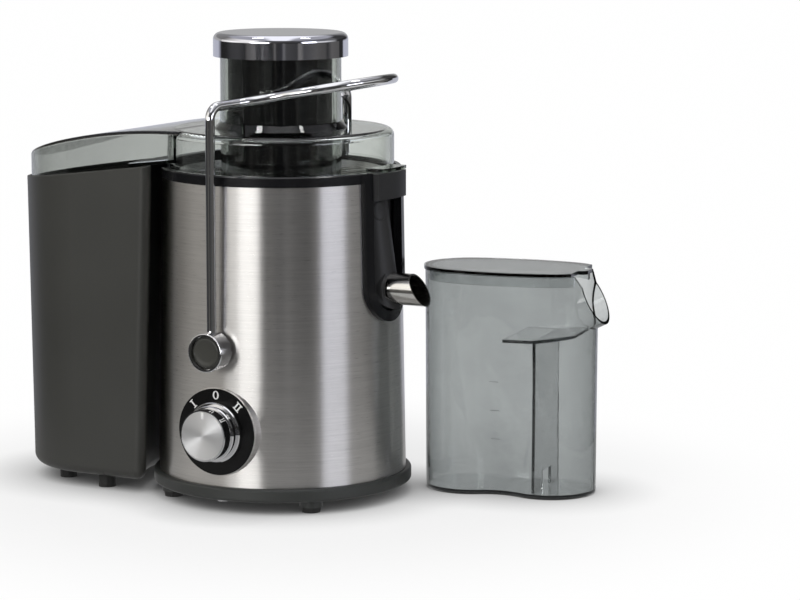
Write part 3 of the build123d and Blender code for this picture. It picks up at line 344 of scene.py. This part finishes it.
def new_object(name, form, material):
    """Turns a bmesh into an object of the scene."""
    mesh = bpy.data.meshes.new(name)
    form.to_mesh(mesh)
    form.free()
    mesh.materials.append(material)
    made = bpy.data.objects.new(name, mesh)
    bpy.context.scene.collection.objects.link(made)
    return made


def add_piece(name, form, material, body):
    """Turns a bmesh into a piece that rides on a body."""
    bmesh.ops.recalc_face_normals(form, faces=form.faces)
    piece = new_object(name, form, material)
    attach(piece, body)
    return piece


def skin(form, loops):
    """Closes the first loop with a face and joins each loop to the next."""
    form.faces.new(loops[0])
    for inner, outer in zip(loops, loops[1:]):
        for step in range(len(inner)):
            after = (step + 1) % len(inner)
            form.faces.new((inner[step], inner[after], outer[after], outer[step]))


def printed(name, turn, outlines):
    """Ink on the dial's face: closed outlines, turned round the dial's centre."""
    form = bmesh.new()
    for outline in outlines:
        loops = []
        for depth in (0.0, ink_depth):
            loop = []
            for across, up in outline:
                reach = mark_circle + up
                x = across * math.cos(turn) + reach * math.sin(turn)
                z = reach * math.cos(turn) - across * math.sin(turn)
                loop.append(form.verts.new((dial_centre.x + x, dial_low.y - depth, dial_centre.z + z)))
            loops.append(loop)
        skin(form, loops)
        form.faces.new(loops[-1])
    mark = add_piece(name, form, dial_ink, "motor_base")


def upright(offset, reach):
    """A stem with serifs at both ends, as one outline."""
    half, low, high = mark_stem / 2, -mark_height / 2, mark_height / 2
    right = [(reach, low), (reach, low + mark_serif), (half, low + mark_serif), (half, high - mark_serif),
             (reach, high - mark_serif), (reach, high)]
    left = [(-across, up) for across, up in reversed(right)]
    return [(offset + across, up) for across, up in right + left]


def oval_halves():
    """A ring that is thick at its sides, as two outlines."""
    halves = []
    for side in (-1, 1):
        outer, inner = [], []
        for step in range(mark_ring_steps + 1):
            turn = math.pi * step / mark_ring_steps
            outer.append((side * mark_ring_width / 2 * math.sin(turn), mark_height / 2 * math.cos(turn)))
            inner.append((side * (mark_ring_width / 2 - mark_ring_side) * math.sin(turn),
                          (mark_height / 2 - mark_serif) * math.cos(turn)))
        halves.append(outer + inner[::-1])
    return halves


printed("dial_mark_one", mark_one_turn, [upright(0.0, mark_serif_reach)])
printed("dial_mark_off", 0.0, oval_halves())
printed("dial_mark_two", mark_two_turn, [upright(-mark_pair, mark_pair), upright(mark_pair, mark_pair)])


# Speed knob. A chrome-plated stepped knob on the switch spindle, with a spun aluminium
# disc let into its front and a white index bar.

haze_scale = 60.0
haze_change = 0.05
haze_polish = 0.5

polish_haze, haze_in, haze_out = new_group(
    "polish_haze",
    {"Colour": COLOUR, "Roughness": NUMBER},
    {"Colour": COLOUR, "Roughness": NUMBER})
haze_cloud = noise(polish_haze, object_place(polish_haze), haze_scale, detail=4.0)
haze_colour = scaled_colour(polish_haze, haze_in.outputs["Colour"],
                            wavering(polish_haze, haze_cloud, haze_change))
haze_rough = arithmetic(polish_haze, "MULTIPLY", haze_in.outputs["Roughness"],
                        wavering(polish_haze, haze_cloud, haze_polish))
polish_haze.links.new(haze_colour, haze_out.inputs["Colour"])
polish_haze.links.new(haze_rough, haze_out.inputs["Roughness"])


def polished(name, colour, roughness, metallic=1.0, anisotropy=0.0):
    """Bright metal or plating with a breath of haze."""
    material, tree, shader = new_material(name)
    shader.inputs["Metallic"].default_value = metallic
    shader.inputs["Anisotropic"].default_value = anisotropy
    haze = place_group(tree, polish_haze, Colour=(*colour, 1.0), Roughness=roughness)
    tree.links.new(haze.outputs["Colour"], shader.inputs["Base Color"])
    tree.links.new(haze.outputs["Roughness"], shader.inputs["Roughness"])
    return material


knob_chrome = polished("knob_chrome", (0.78, 0.78, 0.79), 0.06)
finish(knob_chrome, "knob_skirt")
spun_aluminium = polished("spun_aluminium", (0.72, 0.72, 0.72), 0.38, metallic=0.82, anisotropy=0.85)
lay_grain(spun_aluminium, "Y")
finish(spun_aluminium, "knob_face")
index_white = moulding("index_white", (0.86, 0.86, 0.85), 0.35)
finish(index_white, "knob_index")


# Juice bowl and spout. A satin dark grey bowl with a block and duct that stand in the
# niche, a low oval pad on the duct, and a polished stainless tube pressed into it.

bowl_plastic = moulding("bowl_plastic", (0.026, 0.026, 0.027), 0.40, specular=0.2)
finish(bowl_plastic, "juice_bowl")
spout_steel = polished("spout_steel", (0.80, 0.79, 0.76), 0.12)
finish(spout_steel, "steel_spout")

pad_centre = Vector((0.0752, -0.0055, 0.1861))
pad_facing = Vector((0.922, -0.387, 0.0))
pad_across = Vector((0.387, 0.922, 0.0))
pad_half_width = 0.0055
pad_half_height = 0.0062
pad_start = 0.02
pad_steps = 32
# Each ring of the pad: its share of the half width and height, and how far it stands off the duct.
pad_rings = ((0.45, 0.00050), (0.78, 0.00050), (0.92, 0.00038), (1.00, -0.00010))


def surface(node):
    """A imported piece's faces, ready for finding where a line meets them."""
    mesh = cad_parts[node].data
    return BVHTree.FromPolygons([corner.co for corner in mesh.vertices],
                                [face.vertices[:] for face in mesh.polygons])


def turns_round(steps):
    """The angles of even steps round a circle."""
    return [2 * math.pi * step / steps for step in range(steps)]


def pad_point(share, turn, proud):
    """A corner of the pad, over the duct's surface."""
    start = (pad_centre + pad_facing * pad_start + pad_across * pad_half_width * share * math.cos(turn)
             + Vector((0.0, 0.0, pad_half_height * share * math.sin(turn))))
    place, normal = duct_surface.ray_cast(start, -pad_facing)[:2]
    return pad_form.verts.new(place + normal * proud)


duct_surface = surface("juice_bowl")
pad_form = bmesh.new()
skin(pad_form, [[pad_point(share, turn, proud) for turn in turns_round(pad_steps)]
                for share, proud in pad_rings])
add_piece("duct_pad", pad_form, bowl_plastic, "motor_base")


# Filter basket. A moulded plate, a stainless toothed disc and a conical stainless screen
# with a rolled rim, riveted together and dropped over the driver.

finish(inner_plastic, "basket_base")
basket_steel = brushed_metal("basket_steel", (0.62, 0.62, 0.62), 0.24, across=1200.0, along=20.0)
finish(basket_steel, "grater_disc", "basket_rim")

screen_pitch = 0.0013
screen_radius = 0.052
screen_hole = 0.32
screen_hole_painted_shade = 0.04
screen_edge_strength = 0.6
screen_edge_depth = 0.0002
screen_steel = brushed_metal("screen_steel", (0.60, 0.60, 0.60), 0.30, across=1200.0, along=20.0)
screen_tree = screen_steel.node_tree
# The screen's holes are dark dots of painted shade, for the dark seen through them, with a bump at their
# edges.
screen_cells = add_node(screen_tree, "ShaderNodeTexVoronoi")
screen_cells.inputs["Scale"].default_value = 1.0
screen_cells.inputs["Randomness"].default_value = 0.0
screen_tree.links.new(stretched_place(screen_tree, 1.0 / screen_pitch, screen_radius / screen_pitch),
                      screen_cells.inputs["Vector"])
screen_web = arithmetic(screen_tree, "GREATER_THAN", screen_cells.outputs["Distance"], screen_hole)
shade_base(screen_tree, spread(screen_tree, screen_web, screen_hole_painted_shade, 1.0))
screen_tree.links.new(bump_from(screen_tree, screen_web, screen_edge_strength, screen_edge_depth),
                      screen_tree.nodes["Principled BSDF"].inputs["Normal"])
finish(screen_steel, "basket_mesh")


# Clear lid. One moulding in clear smoky plastic: cover, feed chute, hood over the
# container and two lugs that the bail snaps over. Its tint is darkened towards the
# hood's end with painted shade.

clear_refraction = 1.49
painted_shade_full_x = -0.18
painted_shade_clear_x = 0.06
painted_hood_shade = 0.72


def mixed_shader(tree, share, first, second):
    """Feeds the surface from two shader sockets, from the second by its share."""
    node = add_node(tree, "ShaderNodeMixShader")
    tree.links.new(share, node.inputs["Fac"])
    tree.links.new(first, node.inputs[1])
    tree.links.new(second, node.inputs[2])
    tree.links.new(node.outputs[0], tree.nodes["Material Output"].inputs["Surface"])


def clear_plastic(name, face, body, soak, shadow, roughness):
    """Clear plastic whose body soaks up light, so that it looks dark along its edges."""
    material, tree, shader = new_material(name)
    shader.inputs["Transmission Weight"].default_value = 1.0
    shader.inputs["IOR"].default_value = clear_refraction
    haze = place_group(tree, polish_haze, Colour=(*face, 1.0), Roughness=roughness)
    tree.links.new(haze.outputs["Colour"], shader.inputs["Base Color"])
    tree.links.new(haze.outputs["Roughness"], shader.inputs["Roughness"])
    depth = add_node(tree, "ShaderNodeVolumeAbsorption")
    depth.inputs["Color"].default_value = (*body, 1.0)
    depth.inputs["Density"].default_value = soak
    tree.links.new(depth.outputs[0], tree.nodes["Material Output"].inputs["Volume"])
    path = add_node(tree, "ShaderNodeLightPath")
    through = add_node(tree, "ShaderNodeBsdfTransparent")
    through.inputs["Color"].default_value = (*shadow, 1.0)
    mixed_shader(tree, path.outputs["Is Shadow Ray"], shader.outputs[0], through.outputs[0])
    return material


lid_clear = clear_plastic("lid_clear", (0.98, 0.99, 0.98), (0.30, 0.36, 0.31), 120.0,
                          (0.92, 0.93, 0.92), 0.02)
# Painted shade: the lid's colour darkens along X towards the hood's end.
lid_tree = lid_clear.node_tree
shade_base(lid_tree, spread(lid_tree, place_parts(lid_tree)["X"], painted_hood_shade, 1.0,
                            painted_shade_full_x, painted_shade_clear_x))
finish(lid_clear, "lid")


# Pusher. A hollow gloss black plunger, moulded in one, that slides in the chute under a
# chrome-plated cap pressed over its top.

pusher_plastic = moulding("pusher_plastic", (0.006, 0.006, 0.007), 0.22, relief=0.00002, specular=0.25)
finish(pusher_plastic, "pusher_tube")
cap_chrome = polished("cap_chrome", (0.75, 0.755, 0.82), 0.07)
finish(cap_chrome, "pusher_cap")


# Pulp container. A deep bin in warm dark grey plastic with a fine matt grain, which
# stands on its own feet and hugs the sleeve.

container_plastic = moulding("container_plastic", (0.036, 0.036, 0.032), 0.44)
finish(container_plastic, "pulp_container")


# Locking bail. A bent chrome rod pressed into turned chrome hubs, which swing on the
# housing's pins. Each hub is closed with a gloss dark insert that is dished a little.

bail_chrome = polished("bail_chrome", (0.78, 0.78, 0.79), 0.06)
finish(bail_chrome, "bail_wire", "bail_hubs")
insert_black = moulding("insert_black", (0.052, 0.052, 0.046), 0.22, relief=0.00002)
finish(insert_black, "hub_caps")

# Each ring of a dish: its share of the insert's radius, and its height above the insert's face.
dish_rings = ((0.30, 0.00010), (0.50, 0.00017), (0.66, 0.00030), (0.75, 0.00046), (0.80, 0.00050),
              (0.85, 0.00042), (0.87, -0.00005))
dish_steps = 48
insert_low, insert_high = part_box("hub_caps")
insert_centre = (insert_low + insert_high) / 2
insert_radius = (insert_high.x - insert_low.x) / 2


def hub_dish(name, outward, face):
    """A shallow dish with a raised edge, on the face of one insert."""
    form = bmesh.new()
    loops = []
    for share, proud in dish_rings:
        reach = insert_radius * share
        loops.append([form.verts.new((insert_centre.x + reach * math.cos(turn), face + outward * proud,
                                      insert_centre.z + reach * math.sin(turn)))
                      for turn in turns_round(dish_steps)])
    skin(form, loops)
    form.faces.new(loops[-1])
    dish = add_piece(name, form, insert_black, "bail")
    dish.data.shade_smooth()


hub_dish("hub_dish_front", -1.0, insert_low.y)
hub_dish("hub_dish_back", 1.0, insert_high.y)


# Juice jug. A waisted jug with its lid and froth separator, each moulded in clear smoky
# plastic. The lid drops on the rim, and three grey scale lines are printed on the jug.

jug_face = (0.97, 0.98, 0.98)
jug_body = (0.30, 0.33, 0.33)
jug_shadow = (0.92, 0.93, 0.93)
jug_polish = 0.015
separator_face = (0.98, 0.98, 0.98)
separator_shadow = (0.94, 0.95, 0.95)
jug_clear = clear_plastic("jug_clear", jug_face, jug_body, 350.0, jug_shadow, jug_polish)
finish(jug_clear, "jug")
fitting_clear = clear_plastic("fitting_clear", jug_face, jug_body, 200.0, jug_shadow, jug_polish)
finish(fitting_clear, "jug_lid")
separator_clear = clear_plastic("separator_clear", separator_face, jug_body, 85.0, separator_shadow,
                                jug_polish)
finish(separator_clear, "froth_separator")

scale_foot = 0.0370
scale_step = 0.0187
scale_count = 3
scale_middle = 0.1300
scale_length = 0.0060
scale_thickness = 0.0004
scale_proud = 0.00010
scale_parts = 6
# The corners across a line: share of its thickness, and how far each stands off the jug.
scale_corners = ((-0.5, 0.0), (-0.5, scale_proud), (0.5, scale_proud), (0.5, 0.0))
scale_grey = moulding("scale_grey", (0.20, 0.21, 0.21), 0.40)
jug_surface = surface("jug")
jug_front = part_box("jug")[0].y


def scale_line(name, height):
    """A thin printed line that follows the jug's wall."""
    form = bmesh.new()
    rows = []
    for part in range(scale_parts + 1):
        across = scale_middle + scale_length * (part / scale_parts - 0.5)
        row = []
        for rise, proud in scale_corners:
            start = Vector((across, jug_front - scale_length, height + rise * scale_thickness))
            place, normal = jug_surface.ray_cast(start, Vector((0.0, 1.0, 0.0)))[:2]
            row.append(form.verts.new(place + normal * proud))
        rows.append(row)
    for left, right in zip(rows, rows[1:]):
        for low, high in ((0, 1), (1, 2), (2, 3)):
            form.faces.new((left[low], right[low], right[high], left[high]))
    add_piece(name, form, scale_grey, "jug")


for count in range(scale_count):
    scale_line(f"jug_scale_{count + 1}", scale_foot + scale_step * count)


# Floor. A plain pale sweep that holds the shadow and reads white to the camera. Its front
# part is a separate apron, which clear plastic doesn't look at, and all that gloss sees of
# it is a disc round the object's foot.

camera_bearing = Vector((-0.4828, 0.8758, 0.0))
camera_right = Vector((0.8758, 0.4828, 0.0))
white = (1.0, 1.0, 1.0, 1.0)
floor_half = 6.0
apron_start = 0.6
gloss_reach = 0.34
gloss_steps = 64
contact_shade_reach = 0.05
half_bounce = 0.5
# The floor's share of plain white rises from close to the object to clear of it.
fade_start = 0.14
fade_end = 0.36
fade_low = 0.72
fade_high = 0.995


def mixed_colour(tree, share, first, second):
    """A colour between two sockets or plain colours, nearer the second by its share."""
    node = add_node(tree, "ShaderNodeMix", data_type="RGBA")
    feed(tree, share, node.inputs["Factor"])
    feed(tree, first, node.inputs[6])
    feed(tree, second, node.inputs[7])
    return node.outputs[2]


def stage_piece(name, form, material, *unseen_by):
    """Turns a bmesh into a part of the studio, which some kinds of ray don't see."""
    piece = new_object(name, form, material)
    for ray in unseen_by:
        setattr(piece, f"visible_{ray}", False)


def studio_sheet(name, centre, half_across, half_along, material, *unseen_by):
    """A flat sheet, square to the camera's bearing."""
    form = bmesh.new()
    form.faces.new([form.verts.new(centre + camera_right * half_across * across
                                   + camera_bearing * half_along * along)
                    for across, along in ((-1, -1), (1, -1), (1, 1), (-1, 1))])
    stage_piece(name, form, material, *unseen_by)


floor_paint, floor_tree, floor_shader = new_material("floor_paint")
floor_shader.inputs["Base Color"].default_value = (0.90, 0.90, 0.90, 1.0)
floor_shader.inputs["Roughness"].default_value = 0.9
floor_shader.inputs["Specular IOR Level"].default_value = 0.1
floor_path = add_node(floor_tree, "ShaderNodeLightPath")
# For camera rays the floor's white glow is darkened by ambient occlusion: painted contact shade round the
# object's foot.
floor_contact_shade = add_node(floor_tree, "ShaderNodeAmbientOcclusion")
floor_contact_shade.inputs["Distance"].default_value = contact_shade_reach
floor_tone = mixed_colour(floor_tree, floor_path.outputs["Is Camera Ray"], white, floor_contact_shade.outputs["Color"])
floor_glow = add_node(floor_tree, "ShaderNodeEmission")
floor_tree.links.new(floor_tone, floor_glow.inputs["Color"])
floor_direct = arithmetic(floor_tree, "LESS_THAN", floor_path.outputs["Glossy Depth"], half_bounce)
floor_through = arithmetic(floor_tree, "MULTIPLY", floor_path.outputs["Is Transmission Ray"], floor_direct)
floor_seen = arithmetic(floor_tree, "MAXIMUM", floor_path.outputs["Is Camera Ray"], floor_through)
floor_reach = add_node(floor_tree, "ShaderNodeVectorMath", operation="LENGTH")
floor_tree.links.new(object_place(floor_tree), floor_reach.inputs[0])
floor_fade = spread(floor_tree, floor_reach.outputs["Value"], fade_low, fade_high, fade_start, fade_end,
                    smooth=True)
floor_share = arithmetic(floor_tree, "MULTIPLY", floor_seen, floor_fade)
mixed_shader(floor_tree, floor_share, floor_shader.outputs[0], floor_glow.outputs[0])

long_half = (floor_half + apron_start) / 2
short_half = (floor_half - apron_start) / 2
studio_sheet("floor", camera_bearing * short_half, floor_half, long_half, floor_paint, "glossy")
studio_sheet("floor_apron", -camera_bearing * long_half, floor_half, short_half, floor_paint,
             "glossy", "transmission")
gloss_form = bmesh.new()
bmesh.ops.create_circle(gloss_form, cap_ends=True, segments=gloss_steps, radius=gloss_reach)
stage_piece("floor_gloss", gloss_form, floor_paint, "camera", "diffuse", "shadow", "transmission")


# Studio tent. Cloth all round, which only gloss, chrome and clear plastic see: tall soft
# boxes in front of the dial and beside the spout, dark cloth between them, dim streaks
# below the horizon, a soft glow above, and a ceiling that is bright along its middle.

tent_radius = 9.0
tent_columns = 96
tent_rows = 48
warm, plain, cool = (1.0, 0.97, 0.92), (1.0, 1.0, 1.0), (0.93, 0.95, 1.06)
# Each stop of cloth: bearing from +X in degrees, and the brightness and tone there.
wall_stops = [
    (-180, 0.80, warm), (-150, 1.30, warm), (-124, 0.95, warm), (-114, 1.10, warm), (-110, 4.0, plain),
    (-102, 3.8, plain), (-99, 9.0, plain), (-82, 9.0, plain), (-78, 0.08, warm), (-50, 0.02, warm),
    (-24, 0.02, plain), (-20, 5.2, cool), (1, 4.8, cool), (6, 0.90, plain), (25, 0.80, plain),
    (46, 0.30, plain), (54, 0.03, plain), (92, 0.03, plain), (110, 0.43, plain), (135, 0.43, plain),
    (180, 0.45, warm),
]
sweep_stops = [
    (-180, 0.02, warm), (-165, 0.02, plain), (-152, 0.05, plain), (-136, 0.055, plain), (-122, 0.03, plain),
    (-118, 0.10, warm), (-104, 0.15, warm), (-100, 0.03, plain), (-92, 0.03, plain), (-90, 0.12, warm),
    (-87, 0.035, plain), (-72, 0.035, plain), (-69, 0.16, warm), (-66, 0.04, plain), (-57, 0.04, cool),
    (-54, 0.18, plain), (-50, 0.07, plain), (-40, 0.06, plain), (-31, 0.05, plain), (-28, 0.20, warm),
    (-23, 0.15, warm), (-19, 0.06, plain), (4, 0.11, warm), (22, 0.09, warm), (28, 0.04, plain),
    (38, 0.13, warm), (56, 0.11, warm), (60, 0.03, plain), (72, 0.03, plain), (76, 0.58, cool),
    (168, 0.58, cool), (180, 0.02, warm),
]
upper_stops = [
    (-180, 0.20, warm), (-160, 0.60, warm), (-130, 1.15, warm), (-106, 1.15, warm), (-98, 0.40, plain),
    (-80, 0.08, plain), (-40, 0.08, plain), (0, 0.16, cool), (50, 0.16, plain), (60, 0.05, plain),
    (90, 0.05, plain), (110, 0.30, plain), (180, 0.20, warm),
]
ground_light = (0.80, 0.80, 0.80, 1.0)
ceiling_middle = (1.20, 1.20, 1.24, 1.0)
ceiling_sides = (0.42, 0.42, 0.45, 1.0)
# Where one cloth gives way to the next: start and end of the change, as shares of the tent's radius.
ground_edge = (-0.70, -0.36)
sweep_edge = (-0.02, 0.10)
wall_edge = (0.20, 0.28)
upper_edge = (0.58, 0.70)
middle_edge = (0.15, 0.35)
# Seen through clear plastic, the cloth that is further behind the object than this is brighter.
backdrop_start = 0.5
backdrop_gain = 2.6


def glowing(name):
    """A material that only gives off light, its tree and its emission node."""
    material, tree, shader = new_material(name)
    tree.nodes.remove(shader)
    glow = add_node(tree, "ShaderNodeEmission")
    tree.links.new(glow.outputs[0], tree.nodes["Material Output"].inputs["Surface"])
    return material, tree, glow


def cloth_round(stops):
    """The colour of the cloth round the tent, from stops of bearing, brightness and tone."""
    node = add_node(tent_tree, "ShaderNodeValToRGB")
    tent_tree.links.new(tent_share, node.inputs["Fac"])
    elements = node.color_ramp.elements
    for bearing, level, tone in stops:
        share = (bearing + 180.0) / 360.0
        if bearing == -180:
            stop = elements[0]
        elif bearing == 180:
            stop = elements[-1]
        else:
            stop = elements.new(share)
        stop.position = share
        stop.color = (level * tone[0], level * tone[1], level * tone[2], 1.0)
    return node.outputs["Color"]


def tent_distance(direction):
    """How far a point of the tent lies along a direction."""
    node = add_node(tent_tree, "ShaderNodeVectorMath", operation="DOT_PRODUCT")
    tent_tree.links.new(object_place(tent_tree), node.inputs[0])
    node.inputs[1].default_value = direction
    return node.outputs["Value"]


def tent_blend(nearer, further, edge, distance):
    """The tent's light on either side of an edge, with a soft change between."""
    start, end = edge
    share = spread(tent_tree, distance, 0.0, 1.0, start * tent_radius, end * tent_radius, smooth=True)
    return mixed_colour(tent_tree, share, nearer, further)


tent_cloth, tent_tree, tent_glow = glowing("tent_cloth")
tent_parts = place_parts(tent_tree)
tent_height = tent_parts["Z"]
tent_share = arithmetic(tent_tree, "MULTIPLY_ADD", turn_of(tent_tree, tent_parts), 0.5 / math.pi, 0.5)
tent_aside = arithmetic(tent_tree, "ABSOLUTE", tent_distance(camera_right))
tent_ground = tent_blend(ground_light, cloth_round(sweep_stops), ground_edge, tent_height)
tent_walls = tent_blend(tent_ground, cloth_round(wall_stops), sweep_edge, tent_height)
tent_upper = tent_blend(tent_walls, cloth_round(upper_stops), wall_edge, tent_height)
tent_ceiling = tent_blend(ceiling_middle, ceiling_sides, middle_edge, tent_aside)
tent_light = tent_blend(tent_upper, tent_ceiling, upper_edge, tent_height)
tent_tree.links.new(tent_light, tent_glow.inputs["Color"])
tent_path = add_node(tent_tree, "ShaderNodeLightPath")
tent_through = arithmetic(tent_tree, "GREATER_THAN", tent_path.outputs["Transmission Depth"], half_bounce)
tent_behind = arithmetic(tent_tree, "GREATER_THAN", tent_distance(camera_bearing),
                         backdrop_start * tent_radius)
tent_backdrop = arithmetic(tent_tree, "MULTIPLY", tent_through, tent_behind)
tent_tree.links.new(spread(tent_tree, tent_backdrop, 1.0, backdrop_gain), tent_glow.inputs["Strength"])

tent_form = bmesh.new()
bmesh.ops.create_uvsphere(tent_form, u_segments=tent_columns, v_segments=tent_rows, radius=tent_radius)
stage_piece("studio_tent", tent_form, tent_cloth, "camera", "diffuse", "shadow")


# Ceiling panels. Two small bright lamps high above, one to each side of the object,
# which draw the sharp highlights along rounded gloss edges and the bail's rod.

panel_height = 2.8
panel_half_across = 0.30
panel_half_along = 0.08
panel_strength = 14.0
panel_glow, panel_tree, panel_lamp = glowing("panel_glow")
panel_lamp.inputs["Strength"].default_value = panel_strength
for panel_name, panel_side in (("ceiling_panel_left", -1.0), ("ceiling_panel_right", 1.15)):
    studio_sheet(panel_name, camera_right * panel_side + Vector((0.0, 0.0, panel_height)),
                 panel_half_across, panel_half_along, panel_glow, "camera", "diffuse", "shadow")


# Lamps and sky. A broad soft key from the front, a fill from the spout's side and an
# even pale sky, white where the camera, gloss or clear plastic looks at it.

lamp_aim = Vector((0.0, 0.0, 0.12))
sky_fill = 0.5


def soft_box(name, place, width, height, watts, tone):
    """A rectangular lamp that looks at the middle of the object."""
    data = bpy.data.lights.new(name, "AREA")
    data.shape = "RECTANGLE"
    data.size = width
    data.size_y = height
    data.energy = watts
    data.color = tone
    lamp = bpy.data.objects.new(name, data)
    lamp.location = place
    lamp.rotation_euler = (lamp_aim - Vector(place)).to_track_quat("-Z", "Y").to_euler()
    lamp.visible_glossy = False
    lamp.visible_transmission = False
    bpy.context.scene.collection.objects.link(lamp)


soft_box("key_box", (-0.3, -1.7, 1.5), width=1.2, height=1.2, watts=14.5, tone=(1.0, 0.99, 0.97))
soft_box("fill_box", (1.9, -0.3, 1.2), width=1.0, height=1.2, watts=11.0, tone=(0.96, 0.97, 1.0))

world = bpy.data.worlds.new("studio_sky")
bpy.context.scene.world = world
world.use_nodes = True
sky_tree = world.node_tree
sky = sky_tree.nodes["Background"]
sky.inputs["Color"].default_value = white
sky_path = add_node(sky_tree, "ShaderNodeLightPath")
sky_mirrored = arithmetic(sky_tree, "MAXIMUM", sky_path.outputs["Is Glossy Ray"],
                          sky_path.outputs["Is Transmission Ray"])
sky_seen = arithmetic(sky_tree, "MAXIMUM", sky_path.outputs["Is Camera Ray"], sky_mirrored)
sky_tree.links.new(spread(sky_tree, sky_seen, sky_fill, 1.0), sky.inputs["Strength"])


# Camera. It stands to the spout's side of the front, a little above the machine, and
# looks slightly down through a long lens.

camera_lens = 144.0
camera_sensor = 36.0
camera_place = (1.0466, -1.7418, 0.4281)
camera_dip = math.radians(8.53)
camera_data = bpy.data.cameras.new("photo_camera")
camera_data.lens = camera_lens
camera_data.sensor_width = camera_sensor
camera = bpy.data.objects.new("photo_camera", camera_data)
camera.location = camera_place
camera_aim = camera_bearing * math.cos(camera_dip) - Vector((0.0, 0.0, math.sin(camera_dip)))
camera.rotation_euler = camera_aim.to_track_quat("-Z", "Y").to_euler()
bpy.context.scene.collection.objects.link(camera)
bpy.context.scene.camera = camera
bpy.context.scene.view_settings.view_transform = "Standard"
